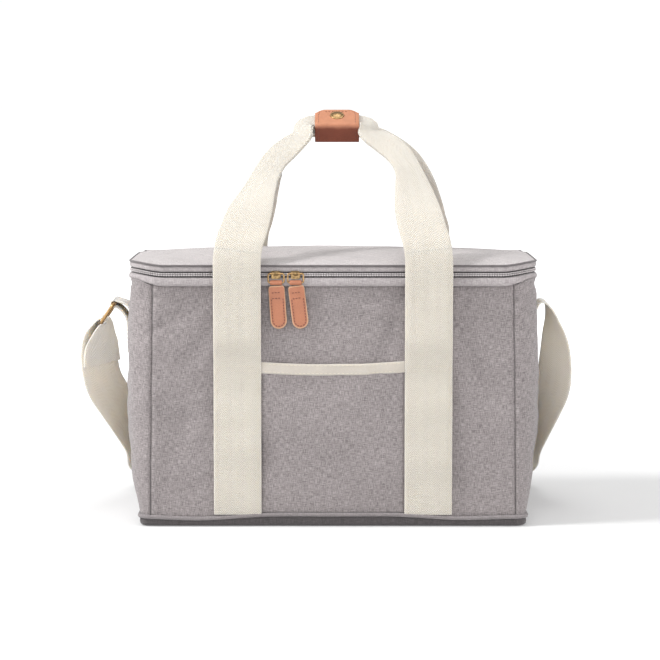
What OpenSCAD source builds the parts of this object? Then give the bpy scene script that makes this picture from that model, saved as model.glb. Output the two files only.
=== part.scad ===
// Soft cooler bag: a foam-lined fabric box with a zipped lid, two webbing handles that meet in a
// snapped leather grip, a front slip pocket and a webbing shoulder strap.
// Millimetres, +Z up, front facing -Y, origin on the floor under the middle of the base.

/* [Body] */
// Width of the fabric box
body_w = 348; // [260:1:460]
// Depth of the fabric box, front to back
body_d = 220; // [170:1:300]
// Height of the walls, up to the zip collar
wall_h = 204; // [150:1:280]
// Radius of the upright corners
corner_r = 22; // [14:1:34]
// Distance that the side panels wrap round onto the front and back
side_wrap = 23; // [22:1:34]
// Thickness of the outer cloth
cloth_t = 1.2; // [0.8:0.1:2.5]
// Thickness of the insulating foam
foam_t = 6; // [3:0.5:12]
// Thickness of the inner liner
liner_t = 0.8; // [0.5:0.1:1.5]
// Thickness of the stiff board in the base
board_t = 3; // [2:0.5:6]
// Height of the dark skirt round the base
skirt_h = 8; // [5:0.5:14]
// Height of the piping above the skirt
piping_h = 3.5; // [2:0.5:6]
// How far the piping stands proud of the cloth
piping_out = 2; // [1:0.25:4]

/* [Lid and zip] */
// How far the lid and the collar under it stand inside the wall at each side
lid_side_inset = 3; // [2:0.5:4]
// How far the lid and its collar stand proud of the wall at the front and back
lid_overhang = 2; // [1:0.5:3]
// Radius of the lid's front corners
lid_corner_r = 26; // [14:1:34]
// Height of the folded collar under the zip
collar_h = 6; // [4:0.5:12]
// Height of the closed zip, both rows of coil together
zip_h = 5; // [4:0.5:8]
// Gap between the two rows of coil, where the lid opens
zip_gap = 0.3; // [0.2:0.1:0.6]
// Height of the band round the lid
lid_band_h = 4.5; // [3:0.5:12]
// Thickness of the lid's top cloth with its seam allowance
lid_top_t = 2; // [1:0.5:4]

/* [Zip pulls] */
// Middle of the left slider, from the middle of the bag
left_slider_x = -47.5; // [-60:0.5:-40]
// Room between the two leather pulls
pulls_apart = 2.8; // [2.2:0.2:50]
// Width of a slider
slider_w = 11; // [8:0.5:14]
// Width of a leather pull
pull_w = 13.5; // [10:0.5:15]
// Length of a leather pull below its ring
pull_len = 38.5; // [25:0.5:50]
// Thickness of a leather pull
pull_t = 2.4; // [1.6:0.2:3]
// Sideways lean of the left pull, in degrees
left_lean = 4; // [0:1:5]
// Sideways lean of the right pull, in degrees
right_lean = 7; // [5:1:10]
// Wire radius of a pull ring
pull_wire_r = 0.7; // [0.5:0.1:0.8]

/* [Handles] */
// Width of the handle webbing
webbing_w = 40; // [30:1:50]
// Thickness of the webbing
webbing_t = 2; // [1.4:0.2:2.6]
// Distance from the middle of the bag to the middle of each handle strap
handle_x = 80; // [74:1:110]
// Room between the zip pulls and the upper part of each strap, which stands off the wall
strap_pass_gap = 0.4; // [0.4:0.2:5]
// Height at which the stitching of each strap ends
strap_sewn_h = 140; // [90:1:150]
// Distance of the fold line, where each handle tips over, below the top of the walls
fold_drop = 4; // [2:1:14]
// Height of the middle of the grip above the fold line
grip_rise = 134.5; // [120:0.5:180]
// Sideways place of the grip
grip_x = 3.5; // [-10:0.5:10]
// Tilt of the grip towards the front, in degrees
grip_tilt = 30; // [20:1:40]
// Length of the leather grip wrap along the handle
wrap_len = 38.4; // [28:0.2:50]
// Width of the webbing where it is folded inside the wrap
grip_web_w = 23; // [18:0.5:26]
// Thickness of one folded webbing inside the wrap
grip_web_t = 5.2; // [4:0.2:6]
// Thickness of the grip leather
leather_t = 1.8; // [1.2:0.1:2.6]
// Radius of the snap cap
snap_r = 6.1; // [4:0.1:8]

/* [Pocket] */
// Gap between the front pocket and the handle strap at each side
pocket_gap = 1; // [1:1:20]
// Height of the pocket's upper edge
pocket_h = 140; // [80:1:145]
// Free depth of the pocket
pocket_depth = 5; // [4.6:0.2:5.6]
// Height of the pale binding along the pocket's edge
binding_h = 9; // [6:0.5:14]

/* [Shoulder strap] */
// Width of the shoulder strap
strap_w = 38; // [30:1:40]
// Wire radius of the metal ring
ring_wire_r = 1.6; // [1.2:0.1:2]
// Height of the ring's upper bar above the floor
ring_bar_h = 181; // [120:1:200]
// Distance of the ring's upper bar from the side of the bag
ring_bar_out = 16.4; // [12:0.2:24]
// Distance between the ring's upper and lower bars
ring_drop = 19.4; // [16:0.2:26]
// Outward swing of the ring at rest, in degrees
ring_swing = 34; // [10:1:50]

/* [Hidden] */

cloth_grey = "#8f8d90";
dark_grey = "#5f5d60";
cream = "#efe9dc";
tan = "#b5683f";
brass = "#a98a4a";
foam_white = "#e8e8e6";
liner_silver = "#c9ccd0";
arc_sides = 48;

fit = 0.3;                    // running gap between pieces on different bodies
sewn = 0.1;                   // gap between layers that are sewn together
half_cut = 0.15;              // half of the gap where webbing is cut at a fold or a bend
lid_w = body_w - 2 * lid_side_inset;
lid_d = body_d + 2 * lid_overhang;
side_x = body_w / 2;
front_y = body_d / 2;
wall_in = cloth_t + foam_t + 2 * sewn;
skin_z = skirt_h + sewn;
board_z = cloth_t + sewn;
foam_z = board_z + board_t + sewn;
liner_z = foam_z + foam_t + sewn;
collar_top = wall_h + collar_h;
split_z = collar_top + zip_h / 2;
band_z = collar_top + zip_h;
lid_top_z = band_z + lid_band_h;
lid_under_z = split_z + zip_gap / 2;
seam_x = side_x - side_wrap;
zip_stop = 12;                // the zip stops this far short of the back corners
zip_back_y = lid_d / 2 - zip_stop;
coil_out = 0.2;               // the coil stands proud of the collar
coil_t = 1.2;
tape_t = 1;
hinge_strip_inset = 8;
hinge_strip_t = 1;
lid_seam_room = 1.4;          // room for the seams between the lid's band and its lining
lid_piping_out = 1;
lid_piping_h = 1.8;
lid_piping_drop = 0.7;        // the lid's piping reaches this far below the top cloth

// Layers in front of the wall: sliders, rings and pulls, then the standing-off straps
slider_back_y = lid_d / 2 + coil_out + fit;
slider_plate_t = 1.4;
plate_below = 0.8;            // the slider's plate reaches this far below the coils
plate_above = 2;              // and this far above them
bail_reach = 1.1;             // from the plate to the middle of the bail's bore
bail_rise = 1;                // from the lid's split to the middle of the bail's bore
bail_r = 1.6;
bail_w = 4;
bore_gap = 0.2;
ring_axis_y = slider_back_y + slider_plate_t + bail_reach;
bail_z = split_z + bail_rise;
ring_bars_apart = 7.5;
pull_ring_bend = 1.5;
pull_bar_z = bail_z - ring_bars_apart;
pull_loop_r = 2.2;
wire_gap = 0.3;
pull_ring_w = pull_w - 0.4;   // between the middles of the ring's upright wires
loop_side_gap = 0.4;
right_slider_x = left_slider_x + pull_w + pulls_apart;
strap_in_y = ring_axis_y + pull_loop_r + strap_pass_gap;
strap_out_y = strap_in_y + webbing_t;
handle_fold_h = wall_h - fold_drop;
pocket_w = 2 * (handle_x - webbing_w / 2 - pocket_gap);
binding_out = 0.4;            // the binding stands proud of the pocket

// A rectangle with true round corners
module rounded_rect(w, d, r) {
    square([w - 2 * r, d], center = true);
    square([w, d - 2 * r], center = true);
    for (sx = [-1, 1], sy = [-1, 1])
        translate([sx * (w / 2 - r), sy * (d / 2 - r)]) circle(r, $fn = arc_sides);
}

// The box outline, moved inwards by inset
module box_outline(inset) {
    rounded_rect(body_w - 2 * inset, body_d - 2 * inset, corner_r - inset);
}

// The lid outline: round front corners, square back corners
module lid_outline(inset) {
    w = lid_w - 2 * inset;
    d = lid_d - 2 * inset;
    r = lid_corner_r - inset;
    translate([-w / 2, -d / 2 + r]) square([w, d - r]);
    translate([-w / 2 + r, -d / 2]) square([w - 2 * r, 2 * r]);
    for (s = [-1, 1]) translate([s * (w / 2 - r), -d / 2 + r]) circle(r, $fn = arc_sides);
}

// A block between two heights, from x0,y0 to x1,y1
module block(x0, x1, y0, y1, z0, z1) {
    translate([x0, y0, z0]) cube([x1 - x0, y1 - y0, z1 - z0]);
}

// A strip round the lid's outline, open at the back where the lid is hinged
module zip_strip(outset, t, z0, z1) {
    difference() {
        translate([0, 0, z0]) linear_extrude(z1 - z0) difference() {
            lid_outline(-outset);
            lid_outline(t - outset);
        }
        block(-lid_w, lid_w, zip_back_y, lid_d, z0 - 1, z1 + 1);
    }
}

// Outer cloth of the walls
module wall_cloth() {
    translate([0, 0, skin_z]) linear_extrude(wall_h - skin_z) difference() {
        box_outline(0);
        box_outline(cloth_t);
    }
}

// The front or back panel of the cloth: side is -1 at the front and 1 at the back
module face_panel(side) {
    color(cloth_grey) intersection() {
        wall_cloth();
        block(-seam_x + sewn, seam_x - sewn, min(0, side * body_d), max(0, side * body_d),
            0, wall_h + 1);
    }
}

// The left or right panel, which wraps round the corners
module side_panel(side) {
    color(cloth_grey) intersection() {
        wall_cloth();
        block(min(side * seam_x, side * body_w), max(side * seam_x, side * body_w),
            -body_d, body_d, 0, wall_h + 1);
    }
}

module front_panel() { face_panel(-1); }
module back_panel() { face_panel(1); }
module left_side_panel() { side_panel(-1); }
module right_side_panel() { side_panel(1); }

// The base cloth turns up into a skirt round the stiff board
module base_panel() {
    color(dark_grey) difference() {
        linear_extrude(skirt_h) box_outline(0);
        translate([0, 0, cloth_t]) linear_extrude(skirt_h) box_outline(cloth_t);
    }
}

module base_piping() {
    color(cloth_grey) translate([0, 0, skirt_h - piping_h / 2]) linear_extrude(piping_h)
        difference() {
            box_outline(-piping_out);
            box_outline(0);
        }
}

module base_board() {
    color("#6b5d4d") translate([0, 0, board_z]) linear_extrude(board_t)
        box_outline(cloth_t + sewn);
}

module foam_base() {
    color(foam_white) translate([0, 0, foam_z]) linear_extrude(foam_t)
        box_outline(cloth_t + sewn);
}

// Upright foam boards stand on the base foam, one inside each wall
module foam_board(along_x, side) {
    depth = cloth_t + sewn;
    long_half = along_x ? seam_x - sewn : front_y - corner_r;
    far = (along_x ? front_y : side_x) - depth;
    z0 = foam_z + foam_t + sewn;
    a = min(side * far, side * (far - foam_t));
    b = max(side * far, side * (far - foam_t));
    color(foam_white)
        if (along_x) block(-long_half, long_half, a, b, z0, wall_h);
        else block(a, b, -long_half, long_half, z0, wall_h);
}

module foam_front() { foam_board(true, -1); }
module foam_back() { foam_board(true, 1); }
module foam_left() { foam_board(false, -1); }
module foam_right() { foam_board(false, 1); }

// Seamless inner tub
module liner() {
    color(liner_silver) difference() {
        translate([0, 0, liner_z]) linear_extrude(wall_h - liner_z) box_outline(wall_in);
        translate([0, 0, liner_z + liner_t]) linear_extrude(wall_h)
            box_outline(wall_in + liner_t);
    }
}

// Folded band that closes the top of the walls and carries the lower zip tape
module collar() {
    color(cloth_grey) translate([0, 0, wall_h]) linear_extrude(collar_h) difference() {
        lid_outline(0);
        box_outline(wall_in + liner_t);
    }
}

module zip_tape_lower() {
    color(dark_grey) zip_strip(-coil_t + coil_out, tape_t, collar_top, split_z - zip_gap / 2);
}

module zip_coil_lower() {
    color(dark_grey) zip_strip(coil_out, coil_t, collar_top, split_z - zip_gap / 2);
}

// Cloth hinge along the back, level with the zip
module lid_hinge_strip() {
    half = lid_w / 2 - hinge_strip_inset;
    color(cloth_grey) block(-half, half, lid_d / 2, lid_d / 2 + hinge_strip_t, wall_h + sewn,
        split_z - zip_gap);
}

module lid_top() {
    color(cloth_grey) translate([0, 0, lid_top_z]) linear_extrude(lid_top_t) lid_outline(0);
}

// Band between the upper coil and the top cloth
module lid_band() {
    color(cloth_grey) translate([0, 0, band_z]) linear_extrude(lid_band_h) difference() {
        lid_outline(0);
        lid_outline(cloth_t);
    }
}

module lid_piping() {
    color(dark_grey) translate([0, 0, lid_top_z - lid_piping_drop])
        linear_extrude(lid_piping_h) difference() {
            lid_outline(-lid_piping_out);
            lid_outline(0);
        }
}

module lid_foam() {
    z0 = lid_under_z + liner_t + sewn;
    color(foam_white) translate([0, 0, z0]) linear_extrude(lid_top_z - z0)
        lid_outline(cloth_t + lid_seam_room);
}

module lid_liner() {
    color(liner_silver) translate([0, 0, lid_under_z]) linear_extrude(liner_t)
        lid_outline(cloth_t + lid_seam_room);
}

module zip_tape_upper() {
    color(dark_grey) zip_strip(-coil_t + coil_out, tape_t, lid_under_z, band_z);
}

module zip_coil_upper() {
    color(dark_grey) zip_strip(coil_out, coil_t, lid_under_z, band_z);
}

// Slip pocket: an open-topped cloth tray sewn to the front panel
module pocket_panel() {
    y0 = -front_y - pocket_depth - cloth_t;
    z0 = skirt_h + piping_h / 2 + sewn;
    color(cloth_grey) difference() {
        block(-pocket_w / 2, pocket_w / 2, y0, -front_y, z0, pocket_h - binding_h);
        block(-pocket_w / 2 + cloth_t, pocket_w / 2 - cloth_t, y0 + cloth_t, -front_y + 1,
            z0 + cloth_t, pocket_h);
    }
}

module pocket_binding() {
    y0 = -front_y - pocket_depth - cloth_t;
    color(cream) block(-pocket_w / 2, pocket_w / 2, y0 - binding_out, y0 + cloth_t,
        pocket_h - binding_h, pocket_h);
}

// Side view of a sewn handle strap: flat on the wall, then out to the stand-off
module strap_profile() {
    z0 = skirt_h + piping_h / 2 + sewn;
    lift_h = 14;
    square_off = front_y + sewn;
    polygon([
        [square_off, z0], [square_off + webbing_t, z0],
        [square_off + webbing_t, strap_sewn_h], [strap_out_y, strap_sewn_h + lift_h],
        [strap_out_y, handle_fold_h - half_cut], [strap_in_y, handle_fold_h - half_cut],
        [strap_in_y, strap_sewn_h + lift_h + 1], [square_off, strap_sewn_h + 1]
    ]);
}

// A sewn strap: side is -1 on the left, face is -1 at the front
module sewn_strap(side, face) {
    color(cream) translate([side * handle_x - webbing_w / 2, 0, 0])
        mirror([0, face < 0 ? 1 : 0, 0])
            rotate([90, 0, 90]) linear_extrude(webbing_w) strap_profile();
}

module front_strap_left() { sewn_strap(-1, -1); }
module front_strap_right() { sewn_strap(1, -1); }
module back_strap_left() { sewn_strap(-1, 1); }
module back_strap_right() { sewn_strap(1, 1); }

// The free webbing of the front handle, from the left fold line over the grip to the right one.
// Each row: sideways place from the grip (1 is the strap's own place), distance forward of the
// grip (1 is the standing strap), height above the fold line, direction across the webbing,
// width and thickness. The webbing folds in half as it nears the grip.
function folded(side) = [side * 0.1, -0.87, -0.5];
handle_route = [
    [-1.00, 1.00, half_cut, [1, 0, 0], webbing_w, webbing_t],
    [-1.00, 1.00, 24, [1, 0, 0], webbing_w, webbing_t],
    [-0.98, 0.96, 38, [1, 0, 0], webbing_w, webbing_t],
    [-0.94, 0.88, 50, [1, 0, 0], webbing_w, webbing_t],
    [-0.87, 0.74, 66, [1, 0, -0.2], 38, 2.4],
    [-0.78, 0.58, 81, [0.9, -0.1, -0.4], 33, 3.2],
    [-0.68, 0.40, 97, [0.7, -0.3, -0.6], 28, 4],
    [-0.54, 0.20, 114, [0.35, -0.7, -0.6], 24, 5],
    [-0.38, 0.12, 126, folded(1), grip_web_w, grip_web_t],
    [-0.26, 0, 0, folded(0), grip_web_w, grip_web_t],
    [0.26, 0, 0, folded(0), grip_web_w, grip_web_t],
    [0.38, 0.12, 128, folded(-1), grip_web_w, grip_web_t],
    [0.55, 0.20, 118, [-0.35, -0.7, -0.6], 24, 5],
    [0.70, 0.40, 101, [-0.7, -0.3, -0.6], 28, 4],
    [0.80, 0.58, 84, [-0.9, -0.1, -0.4], 33, 3.2],
    [0.88, 0.74, 67, [-1, 0, -0.2], 38, 2.4],
    [0.94, 0.88, 50, [-1, 0, 0], webbing_w, webbing_t],
    [0.98, 0.96, 38, [-1, 0, 0], webbing_w, webbing_t],
    [1.00, 1.00, 24, [-1, 0, 0], webbing_w, webbing_t],
    [1.00, 1.00, half_cut, [-1, 0, 0], webbing_w, webbing_t]
];
knee = 3;                      // the row where the arch turns on the legs
last_row = len(handle_route) - 1;
grip_rows = [9, 10];           // the rows inside the leather wrap
grip_z = handle_fold_h + grip_rise;
stack_off = grip_web_t / 2 + fit / 2;   // each folded webbing lies this far from the grip's middle
stand_y = strap_in_y + webbing_t / 2;

// Place of a row; face is -1 for the front handle and 1 for the back one
function row_place(i, face) =
    let (r = handle_route[i], in_grip = i == grip_rows[0] || i == grip_rows[1])
    [
        grip_x + r[0] * (r[0] < 0 ? handle_x + grip_x : handle_x - grip_x),
        in_grip ? face * stack_off * sin(grip_tilt) : face * r[1] * stand_y,
        in_grip ? grip_z - face * stack_off * cos(grip_tilt) : handle_fold_h + r[2]
    ];
function unit(v) = v / norm(v);
// Direction of the webbing at a row, from its neighbours
function row_along(i, face) =
    let (run = row_place(min(i + 1, last_row), face) - row_place(max(i - 1, 0), face))
    unit(i == grip_rows[0] || i == grip_rows[1] ? [1, 0, 0]
        : i == 0 || i == last_row ? [0, 0, run[2]]
        : i == knee || i == last_row - knee ? [0, run[1], run[2]] : run);
// The four corners of the webbing at a row, moved along it by slide
function row_ring(i, face, slide) =
    let (r = handle_route[i], t = row_along(i, face), p = row_place(i, face) + slide * t,
        w = unit(r[3] - (r[3] * t) * t), n = cross(t, w), hw = r[4] / 2 * w, ht = r[5] / 2 * n)
    [p - hw - ht, p + hw - ht, p + hw + ht, p - hw + ht];

// A closed skin over a list of rings that have the same number of points
module skin(rings) {
    n = len(rings[0]);
    m = len(rings);
    polyhedron(
        points = [for (r = rings, p = r) p],
        faces = [
            [for (k = [0 : n - 1]) k],
            for (j = [0 : m - 2], k = [0 : n - 1], half = [0, 1])
                let (a = j * n + k, b = j * n + (k + 1) % n)
                k < n / 2 ? (half == 0 ? [a, a + n, b] : [b, a + n, b + n])
                    : (half == 0 ? [a, a + n, b + n] : [a, b + n, b]),
            [for (k = [n - 1 : -1 : 0]) (m - 1) * n + k]
        ],
        convexity = 6
    );
}

// A run of handle webbing between two rows
module handle_run(first, last, face) {
    color(cream) skin([for (i = [first : last])
        row_ring(i, face, (i == first && i > 0 ? half_cut : 0)
            - (i == last && i < last_row ? half_cut : 0))
    ]);
}

module front_leg_left() { handle_run(0, knee, -1); }
module front_leg_right() { handle_run(last_row - knee, last_row, -1); }
module front_arch() { handle_run(knee, last_row - knee, -1); }
module back_leg_left() { handle_run(0, knee, 1); }
module back_leg_right() { handle_run(last_row - knee, last_row, 1); }
module back_arch() { handle_run(knee, last_row - knee, 1); }

// The grip's own frame: x along the handle, y across it from front to back, z through it
module grip_frame() {
    translate([grip_x, 0, grip_z]) rotate([grip_tilt, 0, 0]) children();
}
bundle_y = grip_web_w / 2 + fit;
bundle_z = grip_web_t + 1.5 * fit;
wrap_y = bundle_y + leather_t;
under_z = -bundle_z - leather_t;
inner_top_z = bundle_z + leather_t;
flap_in_z = inner_top_z + fit;
flap_in_y = -bundle_y - fit;
snap_inset = 3;                // from the snap's rim to the back of the webbing
snap_y = bundle_y - snap_r - snap_inset;
cap_h = 1.3;
cap_slope = 1.2;
stud_r = 3;
stud_h = 1.2;
stud_gap = 0.4;
tongue_r = 9;
tongue_inset = 1;              // the flap's end stops this far short of the wrap's edge

// Leather sewn round the back handle: under it, up behind it and over the top
module grip_wrap() {
    color(tan) grip_frame() {
        block(-wrap_len / 2, wrap_len / 2, -bundle_y, wrap_y, under_z, -bundle_z);
        block(-wrap_len / 2, wrap_len / 2, bundle_y, wrap_y, -bundle_z, bundle_z);
        block(-wrap_len / 2, wrap_len / 2, -bundle_y, wrap_y, bundle_z, inner_top_z);
    }
}

module snap_stud() {
    color(brass) grip_frame() translate([0, snap_y, inner_top_z])
        cylinder(h = stud_h, r = stud_r, $fn = 32);
}

// The flap comes up over the front of the grip and ends in a rounded tongue on the top
module grip_flap() {
    reach = wrap_y - tongue_inset;
    color(tan) grip_frame() {
        block(-wrap_len / 2, wrap_len / 2, flap_in_y - leather_t, flap_in_y, under_z, flap_in_z);
        translate([0, 0, flap_in_z]) linear_extrude(leather_t) difference() {
            union() {
                translate([-wrap_len / 2, flap_in_y - leather_t])
                    square([wrap_len, reach - tongue_r - flap_in_y + leather_t]);
                translate([-wrap_len / 2 + tongue_r, reach - tongue_r - 1])
                    square([wrap_len - 2 * tongue_r, tongue_r + 1]);
                for (s = [-1, 1]) translate([s * (wrap_len / 2 - tongue_r), reach - tongue_r])
                    circle(tongue_r, $fn = arc_sides);
            }
            translate([0, snap_y]) circle(stud_r + stud_gap, $fn = 32);
        }
    }
}

module snap_cap() {
    color(brass) grip_frame() translate([0, snap_y, flap_in_z + leather_t])
        cylinder(h = cap_h, r1 = snap_r, r2 = snap_r - cap_slope, $fn = arc_sides);
}

// A slider plate over both coils, with a bail bored for the pull ring
module slider(x) {
    plate_z0 = split_z - zip_h / 2 - plate_below;
    plate_z1 = split_z + zip_h / 2 + plate_above;
    plate_y1 = slider_back_y + slider_plate_t;
    color(brass) mirror([0, 1, 0]) {
        block(x - slider_w / 2, x + slider_w / 2, slider_back_y, plate_y1, plate_z0, plate_z1);
        translate([x - bail_w / 2, 0, 0]) rotate([90, 0, 90]) linear_extrude(bail_w) difference() {
            union() {
                translate([ring_axis_y, bail_z]) circle(bail_r, $fn = 32);
                translate([plate_y1, bail_z - bail_r])
                    square([ring_axis_y - plate_y1, 2 * bail_r]);
            }
            translate([ring_axis_y, bail_z]) circle(pull_wire_r + bore_gap, $fn = 32);
        }
    }
}

// Four straight wires with round elbows: a rectangular ring in the XZ plane, centred
module wire_ring(w, h, r, bend) {
    for (s = [-1, 1]) {
        translate([-w / 2 + bend, 0, s * h / 2]) rotate([0, 90, 0])
            cylinder(h = w - 2 * bend, r = r, $fn = 32);
        translate([s * w / 2, 0, -h / 2 + bend]) cylinder(h = h - 2 * bend, r = r, $fn = 32);
    }
    for (q = [0 : 3])
        translate([(q == 0 || q == 3 ? 1 : -1) * (w / 2 - bend), 0,
                (q < 2 ? 1 : -1) * (h / 2 - bend)])
            rotate([90, 0, 0]) rotate([0, 0, q * 90])
                rotate_extrude(angle = 90, $fn = arc_sides) translate([bend, 0])
                    circle(r, $fn = 32);
}

module pull_ring(x) {
    color(brass) translate([x, -ring_axis_y, bail_z - ring_bars_apart / 2])
        wire_ring(pull_ring_w, ring_bars_apart, pull_wire_r, pull_ring_bend);
}

// A leather pull: a loop round the ring's lower wire and a rounded tag below it
module leather_pull(x, lean) {
    loop_w = pull_ring_w - 2 * (pull_wire_r + loop_side_gap);
    tip_r = pull_w / 2;
    color(tan) translate([x, -ring_axis_y, pull_bar_z]) {
        difference() {
            rotate([0, 90, 0]) cylinder(h = loop_w, r = pull_loop_r, center = true, $fn = 32);
            rotate([0, 90, 0])
                cylinder(h = loop_w + 2, r = pull_wire_r + wire_gap, center = true, $fn = 32);
        }
        rotate([0, -lean, 0]) translate([0, pull_t / 2, 0]) rotate([90, 0, 0])
            linear_extrude(pull_t) {
                translate([-tip_r, -pull_len + tip_r])
                    square([pull_w, pull_len - tip_r - pull_loop_r]);
                translate([0, -pull_len + tip_r]) circle(tip_r, $fn = arc_sides);
            }
    }
}

module slider_left() { slider(left_slider_x); }
module slider_right() { slider(right_slider_x); }
module pull_ring_left() { pull_ring(left_slider_x); }
module pull_ring_right() { pull_ring(right_slider_x); }
module pull_left() { leather_pull(left_slider_x, left_lean); }
module pull_right() { leather_pull(right_slider_x, right_lean); }

// Ring for the shoulder strap, on the left side of the bag
ring_bar_x = side_x + ring_bar_out;
ring_bend = 3;
tab_side_gap = 2;              // between the tab's edge and the ring's side wire
ring_w = strap_w + 2 * (tab_side_gap + ring_wire_r);
tab_low_drop = 41;             // the tab's sewn part, below the ring's upper bar
tab_high_drop = 13;
tab_bore_r = ring_wire_r + fit;

module strap_ring() {
    color(brass) mirror([1, 0, 0]) translate([ring_bar_x, 0, ring_bar_h])
        rotate([0, -ring_swing, 0]) translate([0, 0, -ring_drop / 2])
            rotate([0, 0, 90]) wire_ring(ring_w, ring_drop, ring_wire_r, ring_bend);
}

// Webbing tab sewn flat on the side, with a loop round the ring's upper bar
module side_tab() {
    tab_in_x = side_x + sewn;
    tab_out_x = tab_in_x + 2 * webbing_t;
    sewn_low = ring_bar_h - tab_low_drop;
    sewn_high = ring_bar_h - tab_high_drop;
    outer_r = tab_bore_r + webbing_t;
    color(cream) mirror([1, 0, 0]) translate([0, strap_w / 2, 0]) rotate([90, 0, 0])
        linear_extrude(strap_w) difference() {
            union() {
                translate([tab_in_x, sewn_low])
                    square([tab_out_x - tab_in_x, sewn_high - sewn_low]);
                polygon([
                    [tab_in_x, sewn_high - 1], [tab_out_x, sewn_high - 1],
                    [ring_bar_x + outer_r * 0.8, ring_bar_h - outer_r * 0.6],
                    [ring_bar_x - outer_r * 0.6, ring_bar_h + outer_r * 0.8],
                    [tab_in_x, ring_bar_h - webbing_t]
                ]);
                translate([ring_bar_x, ring_bar_h]) circle(outer_r, $fn = arc_sides);
            }
            translate([ring_bar_x, ring_bar_h]) circle(tab_bore_r, $fn = 32);
        }
}

// Route of the shoulder strap, from its sewn end on the right, down and round behind the bag on
// the floor, to its fold over the ring on the left. Each row: place, and the way the strap's
// inner face looks.
strap_route = [
    [[175.4, 0, 140], [-1, 0, 0]],
    [[175.4, 0, 158], [-1, 0, 0]],
    [[176, 0, 172], [-1, 0, 0.1]],
    [[178.5, 0, 179.5], [-0.7, 0, 0.7]],
    [[182, 0, 182.5], [0, 0, 1]],
    [[187.5, 0, 179.5], [0.7, 0, 0.7]],
    [[192, 1, 168], [1, 0.1, 0.3]],
    [[195, 4, 150], [0.95, 0.3, 0.2]],
    [[196, 9, 128], [0.85, 0.5, 0.2]],
    [[195, 20, 108], [0.8, 0.5, 0.25]],
    [[190.5, 38, 90], [0.87, 0.42, 0.2]],
    [[187, 62, 72], [0.94, 0.28, 0.15]],
    [[184, 90, 53], [0.97, 0.15, 0.15]],
    [[177, 118, 35], [0.8, 0.3, 0.5]],
    [[164, 144, 19], [0.4, 0.4, 0.8]],
    [[144, 164, 8], [0.1, 0.2, 1]],
    [[112, 179, 3], [0, 0, 1]],
    [[60, 190, 2], [0, 0, 1]],
    [[0, 194, 2], [0, 0, 1]],
    [[-60, 190, 2], [0, 0, 1]],
    [[-112, 179, 3], [0, 0, 1]],
    [[-144, 164, 8], [-0.1, 0.2, 1]],
    [[-164, 144, 19], [-0.4, 0.4, 0.8]],
    [[-177, 118, 35], [-0.8, 0.3, 0.5]],
    [[-183.5, 90, 53], [-0.97, 0.15, 0.15]],
    [[-187.5, 62, 71], [-0.94, 0.28, 0.15]],
    [[-193.5, 38, 89], [-0.87, 0.42, 0.2]],
    [[-201.5, 18, 107], [-0.82, 0.5, 0.25]],
    [[-204.8, 6, 124], [-0.93, 0.33, 0.15]],
    [[-206.5, 2, 140], [-0.98, 0.2, 0.1]],
    [[-208, 0, 152], [-1, 0.1, 0.1]],
    [[-208, 0, 161], [-0.9, 0, 0.4]],
    [[-205.6, 0, 166.4], [-0.5, 0, 0.85]],
    [[-202, 0, 168.2], [0, 0, 1]],
    [[-198.8, 0, 166.6], [0.8, 0, 0.6]],
    [[-197.4, 0, 162], [1, 0, 0.1]],
    [[-197, 0, 150], [1, 0, 0]],
    [[-196.5, 0, 138], [1, 0, 0]],
    [[-196, 0, 127], [1, 0, 0]]
];
last_strap_row = len(strap_route) - 1;
strap_t = 1.8;

// A flat eight-sided section across the strap at a row
function strap_ring_points(i) =
    let (p = strap_route[i][0], face = strap_route[i][1],
        t = unit(strap_route[min(i + 1, last_strap_row)][0] - strap_route[max(i - 1, 0)][0]),
        n = unit(face - (face * t) * t), w = cross(t, n), a = strap_w / 2, b = strap_t / 2)
    [for (q = [[-a, -b / 2], [-a + 1, -b], [a - 1, -b], [a, -b / 2], [a, b / 2], [a - 1, b],
        [-a + 1, b], [-a, b / 2]]) p + q[0] * w + q[1] * n];

module shoulder_strap() {
    color(cream) skin([for (i = [0 : last_strap_row]) strap_ring_points(i)]);
}

front_panel();
back_panel();
left_side_panel();
right_side_panel();
base_panel();
base_piping();
base_board();
foam_front();
foam_back();
foam_left();
foam_right();
foam_base();
liner();
collar();
zip_tape_lower();
zip_coil_lower();
lid_hinge_strip();
lid_top();
lid_band();
lid_piping();
lid_foam();
lid_liner();
zip_tape_upper();
zip_coil_upper();
pocket_panel();
pocket_binding();
front_strap_left();
front_strap_right();
back_strap_left();
back_strap_right();
front_leg_left();
front_leg_right();
front_arch();
back_leg_left();
back_leg_right();
back_arch();
grip_wrap();
snap_stud();
grip_flap();
snap_cap();
slider_left();
slider_right();
pull_ring_left();
pull_ring_right();
pull_left();
pull_right();
side_tab();
strap_ring();
shoulder_strap();
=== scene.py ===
"""Soft cooler bag: cloth, webbing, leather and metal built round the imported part."""
import math
import bmesh
import bpy
import numpy as np
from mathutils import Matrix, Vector, noise


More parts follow.
